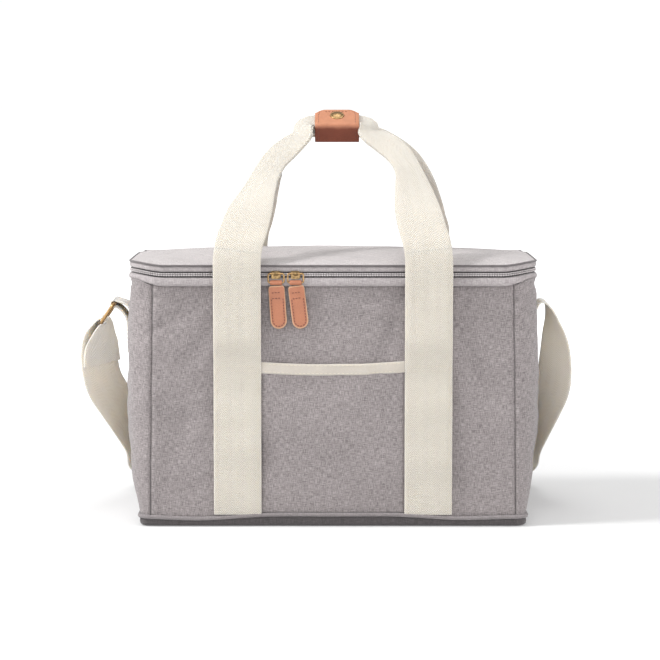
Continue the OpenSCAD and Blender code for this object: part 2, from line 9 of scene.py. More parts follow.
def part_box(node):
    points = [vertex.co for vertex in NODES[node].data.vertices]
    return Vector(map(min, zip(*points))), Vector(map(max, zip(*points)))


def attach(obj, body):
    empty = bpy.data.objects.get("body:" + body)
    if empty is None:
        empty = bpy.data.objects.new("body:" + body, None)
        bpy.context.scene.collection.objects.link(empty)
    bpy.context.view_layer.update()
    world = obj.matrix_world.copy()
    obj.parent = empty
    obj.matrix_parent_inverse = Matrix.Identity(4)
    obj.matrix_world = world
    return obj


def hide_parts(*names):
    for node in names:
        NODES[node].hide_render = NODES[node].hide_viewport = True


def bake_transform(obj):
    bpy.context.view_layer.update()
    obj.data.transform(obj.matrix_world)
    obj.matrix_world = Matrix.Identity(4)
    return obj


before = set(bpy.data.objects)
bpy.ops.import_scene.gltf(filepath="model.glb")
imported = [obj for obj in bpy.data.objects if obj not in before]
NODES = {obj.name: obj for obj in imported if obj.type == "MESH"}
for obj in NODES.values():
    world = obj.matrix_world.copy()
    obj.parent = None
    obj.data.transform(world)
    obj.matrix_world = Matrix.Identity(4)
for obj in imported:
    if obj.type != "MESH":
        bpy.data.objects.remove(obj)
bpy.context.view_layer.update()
MM = 0.001
X, Y = np.eye(3)[:2]


def add_object(name, data):
    made = bpy.data.objects.new(name, data)
    bpy.context.scene.collection.objects.link(made)
    return made


def box_of(node):
    """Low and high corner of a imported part, in millimetres."""
    return [np.array(corner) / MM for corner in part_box(node)]


# ---------------------------------------------------------------- camera

camera = add_object("camera", bpy.data.cameras.new("camera"))
camera.data.lens = 150.5
camera.data.clip_end = 200
camera.location = (0, -2.41, 0.363)
aim = Vector((-0.0025, -0.11, 0.166))
camera.rotation_euler = (aim - camera.location).to_track_quat("-Z", "Y").to_euler()
bpy.context.scene.camera = camera

# ---------------------------------------------------------------- node helpers


class Tree:
    """Short ways to add nodes to a material or to a group."""

    def __init__(self, tree):
        self.tree = tree

    def node(self, kind, **values):
        made = self.tree.nodes.new(kind)
        for name, value in values.items():
            setattr(made, name, value)
        return made

    def put(self, value, socket):
        if isinstance(value, bpy.types.NodeSocket):
            self.tree.links.new(value, socket)
        else:
            socket.default_value = value

    def math(self, operation, *values, clamp=False):
        made = self.node("ShaderNodeMath", operation=operation, use_clamp=clamp)
        for value, socket in zip(values, made.inputs):
            self.put(value, socket)
        return made.outputs[0]

    def add(self, *values, clamp=False):
        return self.math("ADD", *values, clamp=clamp)

    def minus(self, *values):
        return self.math("SUBTRACT", *values)

    def times(self, *values):
        return self.math("MULTIPLY", *values)

    def wave(self, value, turns):
        return self.math("SINE", self.times(self.times(value, turns), math.pi))

    def axes(self, vector):
        made = self.node("ShaderNodeSeparateXYZ")
        self.put(vector, made.inputs[0])
        return made.outputs

    def noise(self, vector, scale, detail=2.0, rough=0.5):
        made = self.node("ShaderNodeTexNoise")
        self.put(vector, made.inputs["Vector"])
        self.put(scale, made.inputs["Scale"])
        made.inputs["Detail"].default_value = detail
        made.inputs["Roughness"].default_value = rough
        return made.outputs["Fac"]

    def scaled(self, vector, factors):
        made = self.node("ShaderNodeVectorMath", operation="MULTIPLY")
        self.put(vector, made.inputs[0])
        self.put(factors, made.inputs[1])
        return made.outputs[0]

    def ramp(self, value, low, high):
        made = self.node("ShaderNodeMapRange", clamp=True)
        self.put(value, made.inputs["Value"])
        made.inputs["From Min"].default_value = low
        made.inputs["From Max"].default_value = high
        return made.outputs["Result"]

    def mix(self, factor, a, b, blend="MIX"):
        made = self.node("ShaderNodeMix", data_type="RGBA", blend_type=blend)
        self.put(factor, made.inputs["Factor"])
        self.put(a, made.inputs[6])
        self.put(b, made.inputs[7])
        return made.outputs[2]

    def bump(self, height, strength, distance, normal=None):
        made = self.node("ShaderNodeBump")
        made.inputs["Strength"].default_value = strength
        made.inputs["Distance"].default_value = distance
        self.put(height, made.inputs["Height"])
        if normal is not None:
            self.put(normal, made.inputs["Normal"])
        return made.outputs[0]


def new_group(name, inputs, outputs):
    """A node group; an input is a colour, a number, or a vector where it has no value."""
    tree = bpy.data.node_groups.new(name, "ShaderNodeTree")
    for label, value in inputs.items():
        kind = "Vector" if value is None else "Color" if isinstance(value, tuple) else "Float"
        socket = tree.interface.new_socket(label, in_out="INPUT", socket_type="NodeSocket" + kind)
        if value is not None:
            socket.default_value = value
    for label in outputs:
        kind = "Color" if label == "Color" else "Float"
        tree.interface.new_socket(label, in_out="OUTPUT", socket_type="NodeSocket" + kind)
    t = Tree(tree)
    return t, t.node("NodeGroupInput").outputs, t.node("NodeGroupOutput").inputs


WHITE, BLACK = (1, 1, 1, 1), (0, 0, 0, 1)
PLIES = 900.0      # fine threads in a metre of webbing


def melange_weave_group():
    """Plain weave with slubs: raised threads, and pale and dark flecks that run along them."""
    t, i, o = new_group("melange_weave", dict(
        Vector=None, Threads=1100.0, Light=WHITE, Dark=BLACK, Fleck=0.5), ("Color", "Height"))
    crossing = t.times(*[t.wave(axis, i["Threads"]) for axis in t.axes(i["Vector"])[:2]])
    across = t.noise(t.scaled(i["Vector"], (200, 2000, 1)), 1.0, 2.0, 0.6)
    along = t.noise(t.scaled(i["Vector"], (2000, 200, 1)), 1.0, 2.0, 0.6)
    over = t.ramp(crossing, -0.8, 0.8)
    weft = t.times(across, t.add(0.25, t.times(over, 0.5)))
    warp = t.times(along, t.minus(0.75, t.times(over, 0.5)))
    streak = t.add(weft, warp)
    fleck = t.ramp(streak, 0.39, 0.61)
    half = t.times(t.minus(fleck, 0.5), i["Fleck"])
    t.put(t.mix(t.add(half, 0.5, clamp=True), i["Dark"], i["Light"]), o["Color"])
    rib = t.add(t.math("ABSOLUTE", crossing), t.times(fleck, 0.6))
    t.put(rib, o["Height"])
    return t.tree


def twill_group():
    """Herringbone twill: slanting ribs that turn back in columns, with painted shade down the
    hollows between ribs.
    """
    t, i, o = new_group("herringbone_twill", dict(
        Vector=None, Ribs=620.0, Column=0.005, Light=WHITE, Dark=BLACK), ("Color", "Height"))
    across, along, _ = t.axes(i["Vector"])
    turned = t.math("PINGPONG", across, i["Column"])
    slant = t.add(t.times(turned, 1.3), along)
    rib = t.wave(t.times(slant, 2), i["Ribs"])
    ply = t.wave(across, 2 * PLIES)
    fuzz = t.noise(i["Vector"], 2400.0, 2.0)
    slub = t.noise(t.scaled(i["Vector"], (900, 260, 1)), 1.0, 3.0)
    height = t.add(rib, t.add(t.times(ply, 0.3), t.times(fuzz, 0.8)))
    # painted shade: the colour darkens with the rib wave, into the hollows between ribs, plus random
    # slubs
    tone = t.add(t.times(t.ramp(rib, -1, 1), 0.75), t.times(slub, 0.4), clamp=True)
    t.put(t.mix(tone, i["Dark"], i["Light"]), o["Color"])
    t.put(height, o["Height"])
    return t.tree


def mottle_group():
    """Slow change of tone over a surface, from handling and from the dye."""
    t, i, o = new_group("handling_mottle", dict(
        Vector=None, Color=WHITE, Size=14.0, Amount=0.12), ("Color", "Mask"))
    soft = t.ramp(t.noise(i["Vector"], i["Size"], 3.0, 0.55), 0.3, 0.7)
    shade = t.minus(1.0, t.times(soft, i["Amount"]))
    tint = t.node("ShaderNodeCombineXYZ")
    for socket in tint.inputs:
        t.put(shade, socket)
    t.put(t.mix(1.0, i["Color"], tint.outputs[0], "MULTIPLY"), o["Color"])
    t.put(soft, o["Mask"])
    return t.tree


def grain_group():
    """Fine leather pebble with pores and long soft creases."""
    t, i, o = new_group("leather_grain", dict(
        Vector=None, Size=900.0, Color=WHITE, Pore=BLACK), ("Color", "Height", "Roughness"))
    cells = t.node("ShaderNodeTexVoronoi", feature="DISTANCE_TO_EDGE")
    t.put(i["Vector"], cells.inputs["Vector"])
    t.put(i["Size"], cells.inputs["Scale"])
    pebble = t.ramp(cells.outputs["Distance"], 0.0, 0.25)
    crease = t.noise(t.scaled(i["Vector"], (60, 190, 60)), 1.0, 4.0, 0.6)
    rub = t.ramp(t.noise(i["Vector"], 55.0, 4.0, 0.6), 0.35, 0.75)
    height = t.add(t.times(pebble, 0.5), crease)
    depth = t.times(t.minus(1.0, t.times(pebble, 0.6)), 0.5)
    worn = t.add(depth, t.times(rub, -0.2), clamp=True)
    t.put(t.mix(worn, i["Color"], i["Pore"]), o["Color"])
    t.put(height, o["Height"])
    t.put(t.add(0.42, t.times(rub, 0.18)), o["Roughness"])
    return t.tree


def tarnish_group():
    """Antique plating: bright where it rubs, brown in the hollows, with fine scratches."""
    t, i, o = new_group("antique_tarnish", dict(
        Vector=None, Bright=WHITE, Tarnish=BLACK), ("Color", "Height", "Roughness"))
    cloud = t.ramp(t.noise(i["Vector"], 700.0, 3.0, 0.5), 0.25, 0.85)
    scratch = t.noise(t.scaled(i["Vector"], (2600, 300, 2600)), 1.0, 2.0)
    t.put(t.mix(cloud, i["Bright"], i["Tarnish"]), o["Color"])
    t.put(t.add(scratch, t.times(cloud, 0.5)), o["Height"])
    t.put(t.add(0.24, t.times(cloud, 0.22)), o["Roughness"])
    return t.tree


WEAVE, TWILL = melange_weave_group(), twill_group()
MOTTLE, GRAIN, TARNISH = mottle_group(), grain_group(), tarnish_group()


def placed(t, tree, **values):
    made = t.node("ShaderNodeGroup", node_tree=tree)
    for name, value in values.items():
        t.put(value, made.inputs[name])
    return made.outputs


def new_material(name, **constants):
    made = bpy.data.materials.new(name)
    made.use_nodes = True
    t = Tree(made.node_tree)
    shader = made.node_tree.nodes["Principled BSDF"]
    for label, value in constants.items():
        shader.inputs[label.replace("_", " ")].default_value = value
    coords = t.node("ShaderNodeTexCoord")
    return made, t, shader.inputs, coords.outputs


def rgb(*values):
    return (*values, 1.0)


def weave_material(name, light, dark, fleck=0.75, threads=1100.0, bump=0.35, mottle=0.1,
                   slackness=0.35):
    made, t, shader, coords = new_material(
        name, Roughness=0.92, Sheen_Weight=0.25, Sheen_Roughness=0.5, Specular_IOR_Level=0.2)
    cloth = placed(t, WEAVE, Vector=coords["UV"], Threads=threads, Light=light, Dark=dark,
                   Fleck=fleck)
    worn = placed(t, MOTTLE, Vector=coords["UV"], Color=cloth["Color"], Size=16.0, Amount=mottle)
    t.put(worn["Color"], shader["Base Color"])
    slack = t.noise(t.scaled(coords["UV"], (1, 1.5, 1)), 30.0, 4.0, 0.5)
    t.put(t.bump(cloth["Height"], bump, 0.0004, t.bump(slack, slackness, 0.012)),
          shader["Normal"])
    return made


def twill_material(name, light, dark, ribs=620.0, bump=0.5, glow_through=0.45):
    made, t, shader, coords = new_material(
        name, Roughness=0.88, Sheen_Weight=0.3, Sheen_Roughness=0.45, Specular_IOR_Level=0.2,
        Subsurface_Weight=glow_through, Subsurface_Scale=0.003, Subsurface_Radius=(1.0, 0.9, 0.75))
    cloth = placed(t, TWILL, Vector=coords["UV"], Ribs=ribs, Light=light, Dark=dark)
    worn = placed(t, MOTTLE, Vector=coords["UV"], Color=cloth["Color"], Size=22.0, Amount=0.06)
    t.put(worn["Color"], shader["Base Color"])
    t.put(t.bump(cloth["Height"], bump, 0.0003), shader["Normal"])
    return made


def leather_material(name, color, pore, shade_heights=None):
    """Grained hide; the last argument is a pair of heights, in metres, between which painted shade
    darkens it downwards.
    """
    made, t, shader, coords = new_material(name, Specular_IOR_Level=0.4, Coat_Weight=0.04,
                                           Coat_Roughness=0.45)
    hide = placed(t, GRAIN, Vector=coords["Object"], Size=1400.0, Color=color, Pore=pore)
    worn = placed(t, MOTTLE, Vector=coords["Object"], Color=hide["Color"], Size=60.0, Amount=0.16)
    tone = worn["Color"]
    if shade_heights:
        # painted shade: below these heights the leather turns darker, as on the grip flap's downward
        # front face
        height = t.axes(coords["Object"])[2]
        held = t.ramp(t.add(height, t.times(worn["Mask"], -.0015)), *shade_heights)
        tone = t.mix(held, tone, t.mix(1.0, tone, rgb(.36, .22, .21), "MULTIPLY"))
    t.put(tone, shader["Base Color"])
    t.put(hide["Roughness"], shader["Roughness"])
    t.put(t.bump(hide["Height"], 0.3, 0.0003), shader["Normal"])
    return made


def metal_material(name, bright, tarnish):
    made, t, shader, coords = new_material(name, Metallic=1.0)
    skin = placed(t, TARNISH, Vector=coords["Object"], Bright=bright, Tarnish=tarnish)
    t.put(skin["Color"], shader["Base Color"])
    t.put(skin["Roughness"], shader["Roughness"])
    t.put(t.bump(skin["Height"], 0.12, 0.0002), shader["Normal"])
    return made


def speckled_material(name, color, dark, size, roughness, bump, **constants):
    """Thread, foam, fibre board and liner film: a fine noise in colour and height."""
    made, t, shader, coords = new_material(name, Roughness=roughness, **constants)
    speck = t.noise(coords["Object"], size, 3.0, 0.6)
    tone = t.mix(t.ramp(speck, 0.3, 0.7), dark, color)
    worn = placed(t, MOTTLE, Vector=coords["Object"], Color=tone, Size=18.0, Amount=0.08)
    t.put(worn["Color"], shader["Base Color"])
    t.put(t.bump(speck, bump, 0.0005), shader["Normal"])
    return made


CLOTH = weave_material("grey_melange_canvas", rgb(.42, .38, .376), rgb(.135, .117, .12), 0.78)
# painted light: the lid canvas is a lighter copy of the wall canvas, for the strong top light on the
# lid
LIT_LID_CLOTH = weave_material("lid_canvas_painted_light", rgb(.66, .615, .61), rgb(.33, .3, .3), 0.8)
# painted light: the lid band and the collar are a paler copy of the wall canvas, for the light on
# their forward faces
LIT_BAND_CLOTH = weave_material("band_canvas_painted_light", rgb(.53, .49, .49), rgb(.25, .222, .226), 0.7)
BASE_CLOTH = weave_material("base_dark_canvas", rgb(.125, .113, .115), rgb(.055, .049, .05), 0.7)
PIPING = weave_material("piping_cloth", rgb(.34, .31, .312), rgb(.16, .143, .145), 0.7)
# painted shade: the lid piping is coloured dark for the shade in the seam between the lid top and
# its band
SHADED_SEAM_CLOTH = weave_material("lid_seam_painted_shade", rgb(.2, .182, .184), rgb(.1, .09, .092), 0.7)
# painted shadow: the zip tape is coloured very dark to stand for the shadow lines either side of the
# coil
SHADOW_DARK_TAPE = weave_material("zip_tape_painted_shadow", rgb(.09, .082, .083), rgb(.05, .045, .046), 0.4, 1600.0)
COIL = speckled_material("zip_coil_nylon", rgb(.62, .58, .58), rgb(.5, .465, .467), 900.0, 0.5,
                         0.1, Specular_IOR_Level=0.5)
WEBBING = twill_material("cream_herringbone_webbing", rgb(.74, .7, .63), rgb(.49, .45, .385),
                         480.0, 0.7)
# painted light: the shoulder strap and side tab webbing is a paler copy of the handle webbing, for
# bounce light on the strap's shaded inner face
LIT_STRAP_WEBBING = twill_material("cream_strap_webbing_painted_light", rgb(.93, .885, .81), rgb(.72, .67, .6),
                               480.0, 0.7, 0.9)
BINDING = twill_material("cream_binding_tape", rgb(.65, .6, .545), rgb(.46, .42, .36), 900.0, .35)
THREAD = speckled_material("cream_thread", rgb(.78, .72, .6), rgb(.6, .54, .43), 2500.0, 0.8, 0.3,
                           Sheen_Weight=0.3)
TAN_THREAD = speckled_material("tan_thread", rgb(.2, .06, .035), rgb(.12, .035, .02), 2500.0, 0.7,
                               0.3, Sheen_Weight=0.3)
LEATHER = leather_material("tan_leather", rgb(.52, .21, .115), rgb(.27, .085, .042))
# the grip leather gets painted shade below its top, on the flap's front face
GRIP_LEATHER = leather_material("grip_tan_leather", rgb(.6, .26, .14), rgb(.3, .1, .05),
                                (.3365, .3315))
EDGE_PAINT = leather_material("pale_leather_edge", rgb(.66, .4, .25), rgb(.45, .24, .14))
BRASS = metal_material("antique_brass", rgb(.52, .34, .16), rgb(.26, .155, .07))
# partly painted shade: the slider casting is dark bronze, and darker still to stand for the shade
# inside its open bridge
SHADED_DARK_BRASS = metal_material("dark_slider_brass_and_shade", rgb(.3, .2, .09), rgb(.09, .06, .035))
FOAM = speckled_material("closed_cell_foam", rgb(.84, .84, .82), rgb(.7, .7, .69), 1500.0, 0.9, 0.4)
BOARD = speckled_material("fibre_board", rgb(.33, .27, .2), rgb(.22, .17, .12), 700.0, 0.85, 0.3)
LINER = speckled_material("silver_liner_film", rgb(.66, .68, .7), rgb(.55, .57, .6), 260.0, 0.34,
                          0.25, Metallic=0.35)

# ---------------------------------------------------------------- mesh helpers


def unit(vectors):
    """Each vector at a length of one."""
    return vectors / np.linalg.norm(vectors, axis=-1, keepdims=True)


def run_along(line):
    """Running length at each point of a line."""
    return np.concatenate([[0], np.cumsum(np.linalg.norm(np.diff(line, axis=0), axis=1))])


def circle(centre, radius, side, other, steps=6):
    return [centre + radius * (math.cos(q) * side + math.sin(q) * other)
            for q in np.arange(steps) * 2 * math.pi / steps]


def spread(points, axis):
    """Mean running length along one axis of a grid, for its texture coordinates."""
    steps = np.linalg.norm(np.diff(points, axis=axis), axis=2).mean(axis=1 - axis)
    return np.concatenate([[0], np.cumsum(steps)])


def shape(name, verts, faces, uv, material, body=None, stands_for=(), slot=None):
    """A mesh in millimetres, with uv as one (u, v) in millimetres for each face corner."""
    mesh = bpy.data.meshes.new(name)
    mesh.from_pydata((np.asarray(verts) * MM).tolist(), [], faces)
    layer = mesh.uv_layers.new(name="UVMap")
    layer.data.foreach_set("uv", (np.asarray(uv, float).reshape(-1) * MM).tolist())
    mesh.materials.append(material)
    mesh.polygons.foreach_set("use_smooth", [True] * len(mesh.polygons))
    tidy = bmesh.new()
    tidy.from_mesh(mesh)
    bmesh.ops.recalc_face_normals(tidy, faces=tidy.faces)
    for face in tidy.faces:
        if len(face.verts) > 4:
            for edge in face.edges:
                edge.smooth = False
    tidy.to_mesh(mesh)
    tidy.free()
    made = add_object(name, mesh)
    if body:
        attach(made, body)
    if stands_for:
        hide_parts(*stands_for)
    return made


def grid_skin(points, wrap, start=0, flip=False):
    """Faces over rows of points, and a (u, v) for each face corner."""
    rows, columns, _ = points.shape
    closed = np.concatenate([points, points[:, :1]], axis=1) if wrap else points
    u, v = spread(closed, 1), spread(closed, 0)
    faces, uv = [], []
    for r in range(rows - 1):
        for c in range(closed.shape[1] - 1):
            corners = [(r, c), (r, c + 1), (r + 1, c + 1), (r + 1, c)][::-1 if flip else 1]
            faces.append([start + a * columns + b % columns for a, b in corners])
            uv += [(u[b], v[a]) for a, b in corners]
    return faces, uv


def tube_parts(rings):
    """A closed skin over rings of points with flat ends: vertices, faces and uv."""
    rings = np.asarray(rings, float)
    rows, columns, _ = rings.shape
    faces, uv = grid_skin(rings, True)
    for end, order in ((0, range(columns - 1, -1, -1)), (rows - 1, range(columns))):
        faces.append([end * columns + c for c in order])
        uv += [(float(rings[end, c, 0] - rings[end, 0, 0]), float(rings[end, c, 2])) for c in order]
    return rings.reshape(-1, 3), faces, uv


def joined(parts):
    """Several (verts, faces, uv) as one."""
    verts, faces, uv, at = [], [], [], 0
    for v, f, u in parts:
        verts.append(v)
        faces += [[at + k for k in face] for face in f]
        uv += list(u)
        at += len(v)
    return np.concatenate(verts), faces, uv


def tube(name, rings, *rest, **more):
    return shape(name, *tube_parts(rings), *rest, **more)


def surface_normals(points):
    du, dv = np.gradient(points, axis=1), np.gradient(points, axis=0)
    n = np.cross(du, dv)
    return n / np.maximum(np.linalg.norm(n, axis=2, keepdims=True), 1e-9)


def cloth_sheet(name, points, thickness, *rest, **more):
    """A cloth grid with its outer face as given, closed by an inner face and a rim."""
    points = np.asarray(points, float)
    inner = points - surface_normals(points) * thickness
    rows, columns, _ = points.shape
    count = rows * columns
    sides = grid_skin(points, False), grid_skin(points, False, count, True)
    faces, uv = (front + back for front, back in zip(*sides))
    edge = ([(0, c) for c in range(columns - 1)] + [(r, columns - 1) for r in range(rows - 1)]
            + [(rows - 1, c) for c in range(columns - 1, 0, -1)]
            + [(r, 0) for r in range(rows - 1, 0, -1)])
    index = [r * columns + c for r, c in edge]
    for a, b in zip(index, index[1:] + index[:1]):
        faces.append([b, a, a + count, b + count])
        uv += [(0, 0), (1, 0), (1, 1), (0, 1)]
    verts = np.concatenate([points.reshape(-1, 3), inner.reshape(-1, 3)])
    return shape(name, verts, faces, uv, *rest, **more)


def swept(path, normals, profile):
    """Rings of a closed (out, up) profile along a path round the bag."""
    out, up = np.array(profile).T
    rings = np.empty((len(path), len(profile), 3))
    rings[:, :, :2] = path[:, None, :2] + normals[:, None, :] * out[None, :, None]
    rings[:, :, 2] = path[:, None, 2] + up[None, :]
    return rings


def loop_parts(rings):
    """A ring-shaped skin, closed both ways."""
    rings = np.asarray(rings, float)
    verts = rings.reshape(-1, 3)
    faces, uv = grid_skin(np.concatenate([rings, rings[:1]]), True)
    return verts, [[k % len(verts) for k in face] for face in faces], uv


def rounded_profile(x0, x1, z0, z1, r, steps=3):
    """Closed (out, up) outline of a bar with rounded edges, the right way out."""
    pts = []
    for cx, cz, a0 in ((x1 - r, z0 + r, -90), (x1 - r, z1 - r, 0), (x0 + r, z1 - r, 90),
                       (x0 + r, z0 + r, 180)):
        for k in range(steps + 1):
            a = math.radians(a0 + 90 * k / steps)
            pts.append((cx + r * math.cos(a), cz + r * math.sin(a)))
    return pts


def catmull(rows, each):
    """Smooth rows of numbers with a Catmull-Rom curve, each new rows to a step."""
    rows = np.asarray(rows, float)
    out = []
    for k in range(len(rows) - 1):
        a, b, c, d = (rows[min(max(j, 0), len(rows) - 1)] for j in (k - 1, k, k + 1, k + 2))
        for f in np.arange(each) / each:
            out.append(0.5 * (2 * b + (c - a) * f + (2 * a - 5 * b + 4 * c - d) * f * f
                              + (3 * b - a - 3 * c + d) * f ** 3))
    out.append(rows[-1])
    return np.array(out)


def strip_profile(w, t, fold):
    """Section of webbing: flat at fold 0, and a round folded bundle with a slit at fold 1."""
    edge = min(0.45 * t, 1.0)
    half = w / 2 - edge
    top = [(a * half, t / 2 * (1 - 0.35 * fold * a ** 4) + 0.25 * fold * (1 - a * a))
           for a in np.linspace(-1, 1, 9)]
    right = [(w / 2 - 0.3 * edge, t * 0.32), (w / 2, 0.12 * t), (w / 2 - 3.5 * fold, 0.0),
             (w / 2, -0.12 * t), (w / 2 - 0.3 * edge, -t * 0.32)]
    left = [(-w / 2 + 0.3 * edge, -t * 0.32), (-w / 2, 0.0), (-w / 2 + 0.3 * edge, t * 0.32)]
    return [*top, *right, *[(a, -b) for a, b in reversed(top)], *left]


def strip_rings(rows):
    """Rings of webbing along rows of [x, y, z, across x, y, z, width, thickness, fold]."""
    rows = np.asarray(rows, float)
    places, across = rows[:, :3], rows[:, 3:6]
    along = unit(np.gradient(places, axis=0))
    w = unit(across - (across * along).sum(1, keepdims=True) * along)
    n = np.cross(along, w)
    rings = []
    for k, row in enumerate(rows):
        section = strip_profile(row[6], row[7], row[8])
        rings.append([places[k] + a * w[k] + b * n[k] for a, b in section])
    return np.array(rings)


def stitch_parts(line, facing, radius=0.3, length=2.6, gap=1.0):
    """Stitches along a line of points, facing one way or a way that depends on the place."""
    line = np.asarray(line, float)
    run = run_along(line)
    parts, at = [], gap / 2

    def place(s):
        return np.array([np.interp(s, run, line[:, k]) for k in range(3)])

    while at + length < run[-1]:
        a, b = place(at), place(at + length)
        n = facing((a + b) / 2) if callable(facing) else facing
        side = np.cross(unit(b - a), n)
        rings = []
        for f, r, lift in ((0, 0.35, -0.5), (0.15, 0.9, 0.1), (0.5, 1, 0.35), (0.85, 0.9, 0.1),
                           (1, 0.35, -0.5)):
            c = a + (b - a) * f + n * lift * radius
            rings.append(circle(c, radius * r, n, side))
        parts.append(tube_parts(rings))
        at += length + gap
    return parts


def slab_parts(outline, normal, thickness, bevel=0.5):
    """A flat slab with softened edges from an outline of 3-D points lying in a plane."""
    ring = np.asarray(outline, float)
    normal = np.asarray(normal, float)
    along = np.roll(ring, -1, axis=0) - np.roll(ring, 1, axis=0)
    out = unit(np.cross(along, normal))
    return tube_parts([ring - out * inset * bevel + normal * level * thickness
                       for inset, level in ((1, -.5), (.3, -.38), (0, -.2), (0, .2), (.3, .38),
                                            (1, .5))])


def lathe_parts(centre, axis, side, profile, segments=32):
    """A turned shape from (radius, height) points along an axis."""
    return tube_parts([circle(centre + h * axis, r, side, np.cross(axis, side), segments)
                       for r, h in profile])


def wobble(x, y, z, scale, seed=0.0):
    return noise.noise(Vector((x / scale + seed, y / scale - seed, z / scale + 2 * seed)))

# ---------------------------------------------------------------- shoulder strap

STRAP_ROUTE = [     # place, then the way its outer face looks
    [175.4, 0, 140, -1, 0, 0], [175.4, 0, 158, -1, 0, 0], [176, 0, 172, -1, 0, 0.1],
    [178.5, 0, 179.5, -0.7, 0, 0.7], [182, 0, 182.5, 0, 0, 1], [187.5, 0, 179.5, 0.7, 0, 0.7],
    [192, 1, 168, 1, 0.2, 0.3], [195, 4, 150, 0.86, 0.5, 0.2], [196, 9, 128, 0.74, 0.67, 0.2],
    [195, 20, 108, 0.7, 0.71, 0.2], [190.5, 38, 90, 0.76, 0.62, 0.2],
    [187, 62, 72, 0.88, 0.44, 0.15], [184, 90, 53, 0.96, 0.2, 0.15],
    [177, 118, 35, 0.8, 0.3, 0.5], [164, 144, 19, 0.4, 0.4, 0.8], [144, 164, 8, 0.1, 0.2, 1],
    [112, 179, 3, 0, 0, 1], [60, 190, 2, 0, 0, 1], [0, 194, 2, 0, 0, 1], [-60, 190, 2, 0, 0, 1],
    [-112, 179, 3, 0, 0, 1], [-144, 164, 8, -0.1, 0.2, 1], [-164, 144, 19, -0.4, 0.4, 0.8],
    [-177, 118, 35, -0.8, 0.3, 0.5], [-183.5, 90, 53, -0.97, 0.15, 0.15],
    [-187.5, 62, 71, -0.88, 0.44, 0.15], [-193.5, 38, 89, -0.74, 0.66, 0.2],
    [-201.5, 18, 107, -0.62, 0.78, 0.15], [-204.8, 6, 124, -0.6, 0.8, 0.1],
    [-206.5, 2, 140, -0.68, 0.73, 0.1], [-208, 0, 152, -0.86, 0.5, 0.1],
    [-208, 0, 161, -0.9, 0.12, 0.4],
    [-205.6, 0, 166.4, -0.5, 0, 0.85], [-202, 0, 168.2, 0, 0, 1], [-198.8, 0, 166.6, 0.8, 0, 0.6],
    [-197.4, 0, 162, 0.98, -0.14, 0.1], [-199.8, -1.4, 151, 0.86, -0.5, 0],
    [-202.6, -0.8, 139, 0.68, -0.73, 0], [-202.8, 1.6, 127, 0.6, -0.8, 0],
]
STRAP_W, STRAP_T = 38.0, 1.8


def shoulder_strap():
    fine = catmull(STRAP_ROUTE, 6)
    places, face = fine[:, :3], fine[:, 3:]
    along = unit(np.gradient(places, axis=0))
    face = unit(face - (face * along).sum(1, keepdims=True) * along)
    rows = [[*p, *np.cross(a, f), STRAP_W, STRAP_T, 0] for p, a, f in zip(places, along, face)]
    made = tube("shoulder_strap_webbing", strip_rings(rows), LIT_STRAP_WEBBING,
                stands_for=["shoulder_strap"], slot="webbing")
    return made


strap_piece = shoulder_strap()

# ---------------------------------------------------------------- bag body

WALL_TOP, COLLAR_TOP, BAND_Z, LID_Z = 204.0, 210.0, 215.0, 219.5
BODY_Y, SEAM_X, SKIRT_Z = 110.0, 151.0, 10.0
LIP_X, LIP_Y = 171.0, 112.0      # half width and half depth of the lid and the collar
HEM_X = (-170, -150, -112, -75, -58, 0, 56, 82, 106, 140, 170)
HEM_Z = (9.0, 8.6, 6.4, 9.4, 10.8, 10.4, 10.8, 8.6, 7.0, 8.4, 9.0)


def side_reach(z):
    """Half width of the box at a height: narrow at the foot, fullest half way up."""
    return float(np.interp(z, (0, 12, 40, 80, 120, 165, 204), (161, 163, 168.6, 172.4, 173.3,
                                                               172.2, 170.8)))


def seam_x(z):
    """The front and back panels widen a little towards the foot."""
    return 154.0 - 3.0 * z / WALL_TOP


def hem_height(x, y):
    """Height of the piping: the front and back hems arch up between the straps."""
    if abs(y) < 100:
        return 8.8
    return float(np.interp(x, HEM_X, HEM_Z))


CREASES = [  # x, z, slant, half length, half width, depth
    (-132, 176, 0.5, 34, 5, -1.3), (-116, 150, 0.9, 26, 6, -0.8), (-40, 190, 0.1, 30, 5, -1.0),
    (8, 178, -0.3, 34, 6, -1.1), (36, 192, 0.15, 22, 4, -1.0), (48, 160, 1.2, 24, 6, -0.8),
    (128, 182, -0.5, 30, 5, -1.2), (118, 140, -1.1, 30, 7, -0.8), (134, 60, -1.3, 36, 8, -0.9),
    (-132, 70, 1.25, 34, 7, -0.9), (-118, 30, 0.6, 26, 6, -0.8), (120, 24, -0.5, 26, 6, -0.9),
]


FOOT_Z, FRONT_BELLY, SIDE_BELLY, CREASE_GAIN = 9.0, 2.8, 2.6, 3.2
DEEPEST, SEAM_SINK, SEAM_ROLL, RIM_SINK = -1.0, 1.5, 0.5, 1.2


def arch(gap, reach):
    """One in the middle of a wall, falling to nothing at its reach."""
    return math.cos(min(abs(gap) / reach, 1) * math.pi / 2)


